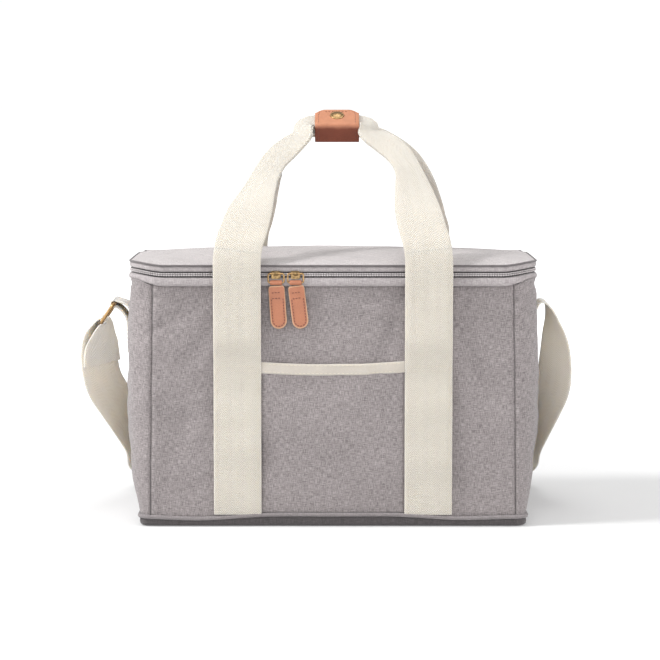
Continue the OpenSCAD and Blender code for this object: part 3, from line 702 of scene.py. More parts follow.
def wall_relief(place, normal, seam_gap):
    """How far the cloth stands out from the plain wall, in millimetres."""
    x, y, z = place
    high = min(max((z - FOOT_Z) / (WALL_TOP - FOOT_Z), 0), 1)
    belly = math.sin(math.pi * high) ** 0.8
    flat = abs(normal[1])
    out = flat * FRONT_BELLY * belly * arch(x, 165)
    out += (1 - flat) * SIDE_BELLY * belly * arch(y, 115)
    side = 1 if y < 0 else -1
    for cx, cz, slant, reach, width, depth in CREASES:
        du, dv = x * side - cx, z - cz
        a = du * math.cos(slant) + dv * math.sin(slant)
        b = -du * math.sin(slant) + dv * math.cos(slant)
        fall = math.exp(-(a / reach) ** 2 - (b / width) ** 2)
        out += CREASE_GAIN * flat * depth * belly * fall
    # broad and fine slackness, and crumpled cloth under the rim
    out += 2.8 * belly * wobble(x, y, z, 36, 3.1) + 1.2 * belly * wobble(x, y, z, 14, 7.7)
    crumple = math.exp(-((z - 188) / 22) ** 2)
    out += 1.8 * crumple * (wobble(x, y, z * 2.2, 21, 12.3) + 0.5 * wobble(x, y, z * 2, 9, 1.3))
    if out < DEEPEST:       # the foam behind stops a deep crease
        out = DEEPEST - math.tanh(DEEPEST - out)
    out -= SEAM_SINK * math.exp(-(seam_gap / 1.1) ** 2)
    out += SEAM_ROLL * math.exp(-((seam_gap - 3.4) / 2.2) ** 2)
    return out - RIM_SINK * math.exp(-((WALL_TOP - z) / 2.6) ** 2)


RIM_RISE, BAND_RISE = 3.0, 2.4       # at the front corners: of the zip, and more of the walls
CORNER_RUN, NO_SEAM = 31, 40.0


def smooth_step(share):
    share = min(1.0, max(0.0, float(share)))
    return share * share * (3 - 2 * share)


def end_rise(n, y):
    """The rim turns up round the front corners and settles again towards the back."""
    return smooth_step(abs(n[0])) * smooth_step((100 - y) / 90)


def eased(length, step, tight=(0.5, 1.2, 2.2, 3.6, 5.6)):
    """Fractions of a run: close together at both ends, and then a step apart."""
    middle = np.linspace(tight[-1], length - tight[-1],
                         max(2, int(round((length - 2 * tight[-1]) / step)) + 1))
    ends = np.array((0, *tight[:-1]))
    return np.concatenate([ends, middle, (length - ends)[::-1]]) / length


def wall_point(part, f, z):
    """Place and outward normal on the box at a height; part 0 to 7 runs round from the front."""
    hw, hd, sx = side_reach(z), BODY_Y, seam_x(z)
    r = hw - sx
    turn, corner = divmod(part, 2)
    if corner:
        a = math.radians(-90 + 90 * turn + 90 * f)
        cx = (1 if turn in (0, 1) else -1) * sx
        cy = (-1 if turn in (0, 3) else 1) * (hd - r)
        return (cx + r * math.cos(a), cy + r * math.sin(a)), (math.cos(a), math.sin(a))
    t = 2 * f - 1
    return (((sx * t, -hd), (0, -1)), ((hw, (hd - r) * t), (1, 0)),
            ((-sx * t, hd), (0, 1)), ((-hw, -(hd - r) * t), (-1, 0)))[turn]


def seam_gap_at(part, f):
    """Rough running distance from the nearest upright seam."""
    if part in (0, 4):
        return min(f, 1 - f) * 2 * SEAM_X
    if part in (1, 3, 5, 7):
        return (f if part in (1, 5) else 1 - f) * CORNER_RUN
    return NO_SEAM


HEIGHTS = np.concatenate([[0, .004, .012, .025, .045], np.linspace(.07, .95, 46),
                          [.965, .978, .988, .995, 1]])
CORNER_F = np.array([0, .02, .05, .09, .14, .2, .28, .37, .46, .55, .65, .75, .85, .93, 1])


def wall_grid(columns):
    grid = []
    for h in HEIGHTS:
        row = []
        for part, f in columns:
            foot, _ = wall_point(part, f, SKIRT_Z)
            low = hem_height(*foot)
            (_, y), n = wall_point(part, f, WALL_TOP)
            top = WALL_TOP + (RIM_RISE + BAND_RISE) * end_rise(n, y)
            z = low + (top - low) * h
            (x, y), n = wall_point(part, f, z)
            d = wall_relief((x, y, z), n, seam_gap_at(part, f))
            d -= 0.9 * math.exp(-((z - low) / 2.0) ** 2)
            row.append((x + n[0] * d, y + n[1] * d, z))
        grid.append(row)
    return np.array(grid)


FACE_F = eased(2 * SEAM_X, 4.6)
SIDE_F = np.linspace(0, 1, 40)
RIGHT_COLUMNS = ([(1, f) for f in CORNER_F[:-1]] + [(2, f) for f in SIDE_F[:-1]]
                 + [(3, f) for f in (1 - CORNER_F)[::-1]])
LEFT_COLUMNS = [(part + 4, f) for part, f in RIGHT_COLUMNS]

WALLS = {}
for panel, columns in (("front", [(0, f) for f in FACE_F]), ("right_side", RIGHT_COLUMNS),
                       ("back", [(4, f) for f in FACE_F]), ("left_side", LEFT_COLUMNS)):
    WALLS[panel] = wall_grid(columns)
    cloth_sheet(panel + "_cloth", WALLS[panel], 1.1, CLOTH, "bag", [panel + "_panel"], "cloth")


def face_out(face, x, z):
    """How far forward (face -1) or back (face 1) the wall cloth reaches at a place."""
    grid = WALLS["front" if face < 0 else "back"]
    xs = grid[:, :, 0] if face < 0 else grid[:, ::-1, 0]
    ys = abs(grid[:, :, 1]) if face < 0 else abs(grid[:, ::-1, 1])
    rows = [float(np.interp(x, xs[r], ys[r])) for r in range(len(grid))]
    return float(np.interp(z, grid[:, len(grid[0]) // 2, 2], rows))


def hem_path():
    """Points and outward normals along the foot of the walls, once round."""
    points, normals = [], []
    for part in range(8):
        for f in np.linspace(0, 1, 6 if part % 2 else 40, endpoint=False):
            (x, y), n = wall_point(part, f, SKIRT_Z)
            points.append((x, y, hem_height(x, y)))
            normals.append(n)
    return np.array(points), np.array(normals)


HEM, HEM_N = hem_path()


def round_profile(r, out, up, steps=10):
    return [(out + r * math.cos(a), up + r * math.sin(a))
            for a in np.arange(steps) * 2 * math.pi / steps]


def level_path(points, z):
    return np.column_stack([points, np.full(len(points), float(z))])


def smoothed(values, times):
    for _ in range(times):
        values = (np.roll(values, 1, axis=0) + 2 * values + np.roll(values, -1, axis=0)) / 4
    return values


HEM[:, 2] = smoothed(HEM[:, 2], 6)
shape("base_piping_cord", *loop_parts(swept(HEM, HEM_N, round_profile(1.7, 0.6, -0.3))),
      PIPING, "bag", ["base_piping"], "piping")


def base_skirt():
    """Dark base cloth: a low wall under the piping that turns under the bag."""
    rings = []
    for share, out in ((1, -0.6), (0.85, 0.1), (0.5, 0.5), (0.22, 0.1), (0.08, -1.2), (0.0, -3.2),
                       (0.0, -8.0)):
        ring = HEM.copy()
        ring[:, :2] += HEM_N * out
        ring[:, 2] = 0.35 + (HEM[:, 2] - 1.4) * share
        rings.append(ring)
    for shrink in (0.8, 0.5, 0.2):
        rings.append(level_path(HEM[:, :2] * shrink, 0.55))
    rings = np.array(rings)
    inner = rings.copy()
    inner[:, :, :2] *= 0.9925
    inner[6:, :, 2] += 1.0
    inner[:6, :, 2] = np.maximum(inner[:6, :, 2], 1.5)
    return tube_parts(np.concatenate([rings[::-1], inner]))


shape("base_cloth", *base_skirt(), BASE_CLOTH, "bag", ["base_panel"], "dark_cloth")

# ---------------------------------------------------------------- rim, zip and lid


def outline(hw, hd, rf, rb):
    """Closed rounded rectangle, anticlockwise from the back left corner: points and normals."""
    points, normals = [], []

    def run(a, b, n, count):
        for f in np.arange(count) / count:
            points.append((a[0] + (b[0] - a[0]) * f, a[1] + (b[1] - a[1]) * f))
            normals.append(n)

    def corner(cx, cy, r, start, count=12):
        for f in np.arange(count) / count:
            a = math.radians(start + 90 * f)
            points.append((cx + r * math.cos(a), cy + r * math.sin(a)))
            normals.append((math.cos(a), math.sin(a)))

    run((-hw, hd - rb), (-hw, -hd + rf), (-1, 0), 44)
    corner(-hw + rf, -hd + rf, rf, 180)
    run((-hw + rf, -hd), (hw - rf, -hd), (0, -1), 70)
    corner(hw - rf, -hd + rf, rf, 270)
    run((hw, -hd + rf), (hw, hd - rb), (1, 0), 44)
    corner(hw - rb, hd - rb, rb, 0)
    run((hw - rb, hd), (-hw + rb, hd), (0, 1), 76)
    corner(-hw + rb, hd - rb, rb, 90)
    return np.array(points), np.array(normals)


LINER_X, LINER_Y, LINER_TOP, LINER_R = 166.5, 102.5, 204.0, 14
RIM_Z, RIM_FALL = COLLAR_TOP - 0.05, 6.75      # its flat top, and how far its outer face drops
LIP, LIP_N = outline(LIP_X, LIP_Y, 30, 3)
LINER_RIM, _ = outline(LINER_X - 0.7, LINER_Y - 0.7, LINER_R, LINER_R)
RISE = np.array([RIM_RISE * end_rise(n, p[1]) for p, n in zip(LIP, LIP_N)])


def rim_drift(points):
    """Small unevenness of a sewn edge."""
    return np.array([0.35 * wobble(x, y, 0, 45, 5.5) + 0.2 * wobble(x, y, 0, 17, 1.2)
                     for x, y in points])


DRIFT = rim_drift(LIP)


def collar():
    """Folded band on top of the walls: soft outside, flat on top, turned in to the liner."""
    rings = []
    for out, z in ((-3.0, 203.2), (-0.2, 202.7), (1.1, 203.3), (1.55, 204.8), (1.5, 206.6),
                   (1.1, 208.4), (0.3, 209.6), (-1.0, RIM_Z)):
        ring = level_path(LIP + LIP_N * (out + DRIFT[:, None] * 0.6), z)
        ring[:, 2] += RISE * (1 + BAND_RISE / RIM_RISE * (RIM_Z - z) / RIM_FALL)
        rings.append(ring)
    for share, z in ((0.4, RIM_Z), (0.9, 209.9), (1.0, 209.2), (1.0, 206.5), (0.6, 204.3)):
        ring = level_path(LIP + (LINER_RIM - LIP) * share, z)
        if z > 209:
            ring[:, 2] += RISE
        rings.append(ring)
    return loop_parts(np.transpose(rings, (1, 0, 2)))


shape("rim_band", *collar(), LIT_BAND_CLOTH, "bag", ["collar"], "cloth")
ZIP_END, TOOTH_PITCH = 109.5, 2.1
FRONT_RUN = [k for k in range(len(LIP)) if LIP[k, 1] <= ZIP_END and not
             (LIP[k, 1] > 0 and LIP_N[k, 1] > 0.5)]


def zip_half(name, z0, z1, teeth_z, body, tape_node, coil_node):
    path = np.column_stack([LIP, RISE])[FRONT_RUN]
    normals = LIP_N[FRONT_RUN]
    tube(name + "_tape", swept(path, normals, rounded_profile(-2.0, -0.9, z0, z1, 0.3)),
         SHADOW_DARK_TAPE, body, [tape_node], "zip")
    run = run_along(path)
    low, high = teeth_z
    core = rounded_profile(-1.4, -0.7, min(low, high) + .1, max(low, high) - .1, 0.2)
    parts = [tube_parts(swept(path, normals, core))]
    for s in np.arange(0.9, run[-1], TOOTH_PITCH):
        x, y, up = (float(np.interp(s, run, path[:, k])) for k in (0, 1, 2))
        nx, ny = (float(np.interp(s, run, normals[:, k])) for k in (0, 1))
        out = np.array((nx, ny, 0)) / math.hypot(nx, ny)
        along = np.array((-out[1], out[0], 0))
        rings = []
        for f, r in ((0, 0.4), (0.15, 0.66), (0.85, 0.66), (1, 0.4)):
            c = np.array((x, y, up + low + (high - low) * f)) + out * 0.05
            rings.append(circle(c, r, along, 0.8 * out))
        parts.append(tube_parts(rings))
    shape(name + "_coil", *joined(parts), COIL, body, [coil_node], "zip")


zip_half("lower_zip", COLLAR_TOP, 212.3, (211.25, 212.35), "bag", "zip_tape_lower", "zip_coil_lower")
zip_half("upper_zip", 212.7, BAND_Z, (212.65, 213.75), "lid", "zip_tape_upper", "zip_coil_upper")


def lid_band():
    profile = [(-1.4, 215.1), (-0.5, 214.9), (0.3, 215.2), (0.65, 216.2), (0.7, 217.4),
               (0.4, 218.6), (-0.3, 219.3), (-1.4, 219.4)]
    path = np.column_stack([LIP + LIP_N * DRIFT[:, None] * 0.6, RISE])
    return loop_parts(swept(path, LIP_N, profile))


shape("lid_edge_band", *lid_band(), LIT_BAND_CLOTH, "lid", ["lid_band"], "cloth")
shape("lid_edge_piping", *loop_parts(swept(np.column_stack([LIP, RISE + LID_Z + 0.3]), LIP_N,
      round_profile(0.95, 0.35, 0, 8))), SHADED_SEAM_CLOTH, "lid", ["lid_piping"], "piping")


LID_CROWN = 7.6
LID_DENTS = (  # x, y, width, depth in plan, height
    (-46, -52, 26, 26, -2.4), (-92, -84, 22, 26, -1.9), (94, -88, 24, 22, -1.5),
    (-70, 84, 30, 22, -1.2), (76, 82, 30, 20, -1.2), (-20, -60, 60, 20, -0.8),
    (120, 10, 30, 40, -0.9))


def lid_height(x, y):
    """Crown of the lid, with dents where the handles pull the cloth."""
    u, v = abs(x) / LIP_X, abs(y) / LIP_Y
    dome = (1 - min(u, 1) ** 3.2) * (1 - min(v, 1) ** 2.6)
    z = LID_Z + 1.5 + LID_CROWN * dome
    for cx, cy, w, d, depth in LID_DENTS:
        z += depth * math.exp(-((x - cx) / w) ** 2 - ((y - cy) / d) ** 2)
    edge = min(1, 4 * (1 - max(u, v)))
    return z + edge * (0.8 * wobble(x, y, 9, 52, 2.4) + 0.3 * wobble(x, y, 4, 17, 8.8))


def seen_from_above(rings):
    """A closed skin with its cloth laid flat, as seen from above."""
    verts, faces, _ = tube_parts(rings)
    return verts, faces, [(verts[k][0], verts[k][1]) for face in faces for k in face]


def lid_top():
    """Crowned top cloth, rounded down over its edge, with a flat underside."""
    edge = [(1, 1.5), (.997, .9), (.992, .45), (.985, .2), (.97, .05)]
    rings = []
    for share, drop in edge + [(share, 0) for share in np.linspace(.94, .02, 32)]:
        pts = LIP * share if share < .97 else LIP - LIP_N * (1 - share) * LIP_Y * 1.4
        rings.append([(x, y, lid_height(x, y) - drop + up * share ** 3)
                      for (x, y), up in zip(pts, RISE)])
    under = [[(x * 0.99, y * 0.985, LID_Z + 0.05 + up * share ** 6)
              for (x, y), up in zip(LIP * share, RISE)] for share in (1, .5, .02)]
    return seen_from_above([*under[::-1], *rings])


lid_piece = shape("lid_top_cloth", *lid_top(), LIT_LID_CLOTH, "lid", ["lid_top"], "lid_cloth")


def rounded_board(name, node, material, slot, inset, soft=1.5, corner=6.0):
    """A board of foam or fibre with softened edges, cut to its place."""
    low, high = box_of(node)
    low, high = low + np.array(inset), high - np.array(inset)
    size = high - low
    axis = int(np.argmin(size))
    a, b = [k for k in range(3) if k != axis]
    centre = (low + high) / 2
    r = min(corner, 0.2 * size[a])
    ring = []
    for sa, sb, start in ((1, -1, -90), (1, 1, 0), (-1, 1, 90), (-1, -1, 180)):
        for q in np.radians(start + np.arange(0, 91, 18)):
            p = centre.copy()
            p[a] += sa * (size[a] / 2 - r) + r * math.cos(q)
            p[b] += sb * (size[b] / 2 - r) + r * math.sin(q)
            ring.append(p)
    normal = np.cross(np.eye(3)[a], np.eye(3)[b])
    body = "lid" if node == "lid_foam" else "bag"
    return shape(name, *slab_parts(ring, normal, size[axis], soft), material, body, [node], slot)


def side_foam(side, label):
    """Upright foam that follows the taper of the side panel."""
    low, high = box_of("foam_" + label)
    thick, half = 5.2, high[1] - 1
    section = rounded_profile(-thick / 2, thick / 2, -half, half, 1.4)
    return [[(side * (side_reach(z) - 1.8 - thick / 2) + a, b, z) for a, b in section]
            for z in np.linspace(low[2] + 0.2, high[2] - 0.3, 24)]


for side, label in ((-1, "left"), (1, "right")):
    tube(label + "_foam_board", side_foam(side, label), FOAM, "bag",
                   ["foam_" + label], "foam")
for side in ("front", "back"):
    board = rounded_board(side + "_foam_board", "foam_" + side, FOAM, "foam", (5, 2.9, 0.15))
for name, node, inset in (("base_foam_board", "foam_base", (10, 4, 0.15)),
                          ("lid_foam_board", "lid_foam", (0.6, 0.6, 0.15))):
    rounded_board(name, node, FOAM, "foam", inset, 1.5, 26)
rounded_board("base_stiffener", "base_board", BOARD, "board", (12, 5, 0.1), 0.5, 22)


def lid_lining():
    """Lining under the lid, quilted softly between its welded edges."""
    low, high = box_of("lid_liner")
    pts, _ = outline(high[0] - .2, high[1] - .2, 24, 2)
    rings = []
    for share in np.linspace(1, .03, 18):
        rings.append([(x, y, low[2] + 0.1 + 0.35 * (1 + wobble(x, y, 0, 30, 4.4)) * (1 - share))
                      for x, y in pts * share])
    top = [[(x, y, high[2]) for x, y in pts * share] for share in (.03, .5, 1)]
    return seen_from_above(rings + top)


shape("lid_lining", *lid_lining(), LINER, "lid", ["lid_liner"], "liner")


def liner_tub():
    """Welded inner tub: soft round corners, slight waves, and a rolled upper edge."""
    low = box_of("liner")[0][2]
    lip = LINER_TOP - 0.6

    def ring(inset, z, r=LINER_R, wave=0.0):
        wide = min(LINER_X, side_reach(z) - 7.6)
        pts, normals = outline(wide - inset, LINER_Y - inset, r, r)
        return [(*(p - n * wave * (1 + wobble(*p, z, 34, 6.1)) * 0.5), z)
                for p, n in zip(pts, normals)]

    def bulge(z):
        return 2.6 * math.sin(math.pi * (z - low) / (LINER_TOP - low)) + 0.05

    rings = [ring(60, low + .1, 20), ring(4, low + .1), ring(1, low + 1.2)]
    rings += [ring(0, z) for z in np.linspace(low + 3, lip, 8)]
    rings += [ring(0.4, LINER_TOP)]
    rings += [ring(0.8, z, LINER_R, bulge(z)) for z in np.linspace(lip, low + 5, 26)]
    rings += [ring(1.6, low + 2.2, 13)]
    return rings + [ring(inset, low + 1.0, 12) for inset in (4.5, 20, 50, 90)]


tube("inner_tub", liner_tub(), LINER, "bag", ["liner"], "liner")


def hinge_strip():
    """Cloth along the back that the lid turns on."""
    low, high = box_of("lid_hinge_strip")
    xs = np.linspace(low[0], high[0], 60)
    rows = []
    for z, y in ((203.6, 112.3), (206, 113.2), (209, 113.6), (212, 113.7), (214, 113.5),
                 (216.5, 112.9), (218.4, 112.6)):
        rows.append([(x, y + 0.25 * wobble(x, 0, z, 24, 9.1), z) for x in xs[::-1]])
    return np.array(rows)


hinge = cloth_sheet("lid_hinge_cloth", hinge_strip(), 0.8, CLOTH, None, ["lid_hinge_strip"],
                    "cloth")
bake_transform(hinge)

# ---------------------------------------------------------------- pocket

POCKET_X, POCKET_TOP, BIND_H = 59.0, 131.0, 9.0


def pocket_face(x, z, lift):
    """Front of the slip pocket: held down at its sides and foot, fuller in the middle."""
    u = abs(x) / (POCKET_X + 3)
    side = (1 - min(u, 1) ** 4)
    high = min(max((z - 10) / 120, 0), 1)
    foot = 1 - math.exp(-((z - 10) / 7) ** 1.0)
    slack = 1.9 * side * foot + 1.2 * side * high ** 3
    slack += 0.5 * side * foot * wobble(x, 0, z, 30, 6.4)
    return -(face_out(-1, x, z) + lift + slack)


def pocket_sag(x):
    """The upper edge hangs a little between the straps."""
    return -2.4 * (1 - (abs(x + 6) / 66) ** 2.2) + 0.25 * wobble(x, 0, 0, 22, 3.3)


def pocket():
    xs = np.linspace(-POCKET_X - 1.5, POCKET_X + 1.5, 34)
    hs = np.concatenate([[0, .01, .03, .06], np.linspace(.1, 1, 26)])
    grid = []
    for h in hs:
        row = []
        for x in xs:
            low = hem_height(x, -BODY_Y) + 1.3
            z = low + (POCKET_TOP + 2 + pocket_sag(x) - low) * h
            row.append((x, pocket_face(x, z, 0.5), z))
        grid.append(row)
    cloth_sheet("pocket_cloth", grid, 0.7, CLOTH, "bag", ["pocket_panel"], "cloth")
    rows = []
    for x in np.linspace(-POCKET_X - 1, POCKET_X + 1, 40):
        z = POCKET_TOP + BIND_H / 2 + pocket_sag(x)
        rows.append([x, pocket_face(x, z, 0.25), z, 0, 0, -1, BIND_H + 0.6, 1.9, 0])
    tube("pocket_edge_binding", strip_rings(rows), BINDING, "bag", ["pocket_binding"], "webbing")
    for name, drop in (("lower", 1.4), ("upper", BIND_H - 1.2)):
        line = [(x, pocket_face(x, POCKET_TOP + drop, 1.2), POCKET_TOP + drop + pocket_sag(x))
                for x in np.linspace(-POCKET_X + 1, POCKET_X - 1, 60)]
        shape("pocket_" + name + "_stitches", *joined(stitch_parts(line, -Y, 0.22)), THREAD,
              "bag", slot="webbing")


pocket()

# ---------------------------------------------------------------- handles

HANDLE_X, WEB_W, WEB_T = 80.0, 40.0, 2.0
STAND_Y, FOLD_Z, GRIP_X, GRIP_RISE = 118.6, 200.0, 3.5, 134.5
TILT, STACK_OFF, GRIP_W, GRIP_T = math.radians(30), 2.75, 23.0, 5.2
SEWN_TOP, FREE_FROM, SPLIT_Z = 137.0, 160.0, 232.0
ROUTE = [  # share sideways, share forward, rise, across, width, thickness, fold
    [-1, 1, .15, 1, 0, 0, WEB_W, WEB_T, 0], [-1, 1, 24, 1, 0, 0, WEB_W, WEB_T, 0],
    [-.98, .96, 38, 1, 0, 0, WEB_W, WEB_T, 0], [-.935, .88, 50, 1, 0, 0, WEB_W, WEB_T, .02],
    [-.878, .75, 65, 1, 0, .04, 38, 2.4, .08], [-.81, .6, 79, .98, -.1, .14, 32, 3.2, .3],
    [-.737, .44, 92, .9, -.35, -.05, 25.5, 4.4, .65],
    [-.655, .3, 104, .55, -.65, -.45, 23.5, 5, .9], [-.54, .2, 114, .35, -.7, -.6, 24, 5, 1],
    [-.38, .12, 125, .1, -.87, -.5, GRIP_W, GRIP_T, 1],
    [-.27, 0, 0, 0, -.87, -.5, GRIP_W, GRIP_T, 1], [.28, 0, 0, 0, -.87, -.5, GRIP_W, GRIP_T, 1],
    [.385, .1, 128, -.1, -.87, -.5, GRIP_W, GRIP_T, 1],
    [.56, .2, 119.5, -.35, -.7, -.6, 24, 5, 1], [.7, .3, 110, -.55, -.6, -.45, 24, 5, .9],
    [.8, .43, 97, -.9, -.3, -.02, 25, 4.4, .65], [.85, .58, 82, -1, -.05, .1, 32.5, 3.2, .3],
    [.885, .75, 66, -1, 0, .04, 39, 2.4, .08], [.935, .88, 50, -1, 0, 0, WEB_W, WEB_T, .02],
    [.98, .96, 38, -1, 0, 0, WEB_W, WEB_T, 0],
    [1, 1, 24, -1, 0, 0, WEB_W, WEB_T, 0], [1, 1, .15, -1, 0, 0, WEB_W, WEB_T, 0]]
IN_GRIP = (10, 11)
BACK_FLARE = 8.0                # the back handle's right leg leans outwards


def handle_rows(face):
    """The free webbing of a handle (face -1 front, 1 back) from one fold line to the other."""
    rows = []
    for k, (sx, sy, rise, *rest) in enumerate(ROUTE):
        x = GRIP_X + sx * (HANDLE_X + GRIP_X if sx < 0 else HANDLE_X - GRIP_X)
        y, z = face * sy * STAND_Y, FOLD_Z + rise
        if k in IN_GRIP:
            y = face * STACK_OFF * math.sin(TILT)
            z = FOLD_Z + GRIP_RISE - face * STACK_OFF * math.cos(TILT)
        if face > 0 and sx > 0.5:
            x += BACK_FLARE * float(np.interp(rise, (3, 34, 90, 122), (0, 1, 1, 0)))
        rows.append([x, y, z, *rest])
    return catmull(rows, 7)


def sewn_rows(side, face, across):
    """The sewn part of a strap and its standing part up to the fold line."""
    def seat(z):
        reach = max(face_out(face, side * HANDLE_X + d, z) for d in (-19, -8, 8, 19))
        extra = 0.5 if face < 0 else 0.2
        return reach + extra + WEB_T / 2
    foot = hem_height(side * HANDLE_X, -BODY_Y) + 1.6
    sewn_z = np.concatenate([[foot, foot + 1.5], np.linspace(foot + 5, SEWN_TOP, 22)])
    rows = [(seat(z), z) for z in sewn_z]
    low = seat(SEWN_TOP)
    rows += [(low + (STAND_Y - low) * smooth_step(f), SEWN_TOP + (FREE_FROM - SEWN_TOP) * f)
             for f in (.15, .35, .55, .75, .9)]
    rows += [(STAND_Y, z) for z in (162, 170, 180, 190, 196)]
    return [[side * HANDLE_X, face * y, z, across, 0, 0, WEB_W, WEB_T, 0] for y, z in rows]


def handle(face, label):
    rows = handle_rows(face)
    left = int(np.argmax(rows[:, 2] >= SPLIT_Z))
    right = len(rows) - 1 - int(np.argmax(rows[::-1, 2] >= SPLIT_Z))
    lowers = [np.array(sewn_rows(side, face, -side)) for side in (-1, 1)]
    rings = strip_rings(np.concatenate([lowers[0], rows, lowers[1][::-1]]))
    left, right = left + len(lowers[0]), right + len(lowers[0])
    for side, name, part, lower in ((-1, "left", rings[:left + 1], lowers[0]),
                                    (1, "right", rings[right:], lowers[1])):
        nodes = [f"{label}_{piece}_{name}" for piece in ("strap", "leg")]
        made = tube(f"{label}_{name}_handle_webbing", part, WEBBING, None, nodes, "webbing")
        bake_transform(made)
        stitched = []
        for dx in (-17.2, 17.2):
            line = [(side * HANDLE_X + dx, row[1] + face * WEB_T / 2, row[2])
                    for row in lower if row[2] < SEWN_TOP + 1]
            stitched += stitch_parts(line, face * Y, 0.2)
        for z in (SEWN_TOP - 1, SEWN_TOP - 5):
            y = float(np.interp(z, lower[:, 2], lower[:, 1])) + face * WEB_T / 2
            line = [(side * HANDLE_X + d, y, z) for d in np.linspace(-17, 17, 12)]
            stitched += stitch_parts(line, face * Y, 0.2)
        shape(f"{label}_{name}_strap_stitches", *joined(stitched), THREAD, "bag", slot="webbing")
    arch = tube(label + "_handle_arch_webbing", rings[left:right + 1], WEBBING,
                stands_for=[label + "_arch"], slot="webbing")
    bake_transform(arch)


handle(-1, "front")
handle(1, "back")

# ---------------------------------------------------------------- leather grip

GRIP = np.array((GRIP_X, 0, FOLD_Z + GRIP_RISE))
GRIP_Y = np.array((0, math.cos(TILT), math.sin(TILT)))
GRIP_Z = np.array((0, -math.sin(TILT), math.cos(TILT)))
WRAP_LEN, HIDE_T, BUNDLE_Y, BUNDLE_Z = 38.4, 1.8, 11.8, 5.65
UNDER_Z, INNER_TOP = -BUNDLE_Z - HIDE_T, BUNDLE_Z + HIDE_T
FLAP_Z, FLAP_Y = INNER_TOP + 0.3, -BUNDLE_Y - 0.3
REACH, TONGUE_R, SNAP_Y = BUNDLE_Y + HIDE_T - 1, 9.0, BUNDLE_Y - 9.1
FLAP_SEAM, WRAP_SEAM = 3.2, 2.4                 # how far in from the edge the leather is sewn
GRIP_STITCH = 0.26, 2.0, 0.9                    # radius, length and gap


def on_grip(x, y, z):
    return GRIP + x * X + y * GRIP_Y + z * GRIP_Z


def rounded_path(corners, radius, steps=5):
    """Points along a bent line with its corners rounded."""
    corners = [np.array(c, float) for c in corners]
    out = [corners[0]]
    for a, b, c in zip(corners, corners[1:], corners[2:]):
        p, q = b + unit(a - b) * radius, b + unit(c - b) * radius
        out += [(1 - f) ** 2 * p + 2 * f * (1 - f) * b + f * f * q
                for f in np.linspace(0, 1, steps)]
    out.append(corners[-1])
    dense = []
    for a, b in zip(out, out[1:]):
        count = max(1, int(np.linalg.norm(b - a) / 1.2))
        dense += [a + (b - a) * k / count for k in range(count)]
    return np.array(dense + [out[-1]])


def hide_strip(name, path, widths, body, node):
    """Leather bent along a path across the grip, as wide as given at each point."""
    rows = [[*on_grip(0, y, z), *X, w, HIDE_T, 0] for (y, z), w in zip(path, widths)]
    tube(name, strip_rings(rows), GRIP_LEATHER, body, [node], "leather")


def grip():
    mid = HIDE_T / 2
    path = rounded_path([(-BUNDLE_Y, -BUNDLE_Z - mid), (BUNDLE_Y + mid, -BUNDLE_Z - mid),
                         (BUNDLE_Y + mid, BUNDLE_Z + mid), (-BUNDLE_Y, BUNDLE_Z + mid)], 2.4)
    hide_strip("grip_leather_wrap", path, [WRAP_LEN] * len(path), "back_handle_top", "grip_wrap")
    path = rounded_path([(FLAP_Y - mid, UNDER_Z), (FLAP_Y - mid, FLAP_Z + mid),
                         (REACH, FLAP_Z + mid)], 2.6)
    tongue = np.array([(REACH - TONGUE_R + TONGUE_R * math.sin(a), FLAP_Z + mid)
                       for a in np.radians(np.arange(6, 91, 7))])
    path = np.concatenate([path[path[:, 0] < REACH - TONGUE_R - 0.4], tongue])
    widths = []
    for y, z in path:
        into = max(0.0, y - (REACH - TONGUE_R))
        widths.append(WRAP_LEN - 2 * (TONGUE_R - math.sqrt(max(TONGUE_R ** 2 - into ** 2, .01))))
    hide_strip("grip_leather_flap", path, widths, "flap", "grip_flap")

    sewn = []
    for side in (-1, 1):
        line = []
        for (y, z), w in zip(path, widths):
            if y > REACH - FLAP_SEAM:
                continue
            on_top = y > FLAP_Y + 1.5
            line.append(on_grip(side * (w / 2 - FLAP_SEAM), y if on_top else y - mid,
                                z + mid if on_top else z))
        sewn += stitch_parts(line, lambda p: -GRIP_Y if np.dot(p - GRIP, GRIP_Z) < FLAP_Z - 1
                             else GRIP_Z, *GRIP_STITCH)
    line = [on_grip(x, REACH - FLAP_SEAM, FLAP_Z + HIDE_T) for x in np.linspace(-11, 11, 9)]
    sewn += stitch_parts(line, GRIP_Z, *GRIP_STITCH)
    shape("grip_flap_stitches", *joined(sewn), TAN_THREAD, "flap", slot="leather")
    sewn = []
    for x in (WRAP_LEN / 2 - WRAP_SEAM, WRAP_SEAM - WRAP_LEN / 2):
        line = [on_grip(x, y, INNER_TOP) for y in np.linspace(-10, 10.5, 12)]
        sewn += stitch_parts(line, GRIP_Z, *GRIP_STITCH)
    shape("grip_wrap_stitches", *joined(sewn), TAN_THREAD, "back_handle_top", slot="leather")

    cap = on_grip(0, SNAP_Y, FLAP_Z + HIDE_T)
    made = lathe_parts(cap, GRIP_Z, X, [
        (0.02, -0.2), (6.0, -0.2), (6.25, 0.15), (6.1, 0.55), (5.6, 0.7), (5.2, 0.55),
        (4.9, 0.75), (4.0, 1.15), (2.4, 1.5), (0.9, 1.62), (0.02, 1.64)])
    shape("snap_dome", *made, BRASS, "flap", ["snap_cap"], "brass")
    made = lathe_parts(on_grip(0, SNAP_Y, INNER_TOP), GRIP_Z, X, [
        (0.02, -0.1), (3.0, -0.1), (3.0, 0.25), (2.0, 0.4), (1.75, 0.75), (1.95, 1.05),
        (1.5, 1.2), (0.02, 1.2)])
    shape("snap_post", *made, BRASS, "back_handle_top", ["snap_stud"], "brass")


grip()

# ---------------------------------------------------------------- zip sliders and pulls

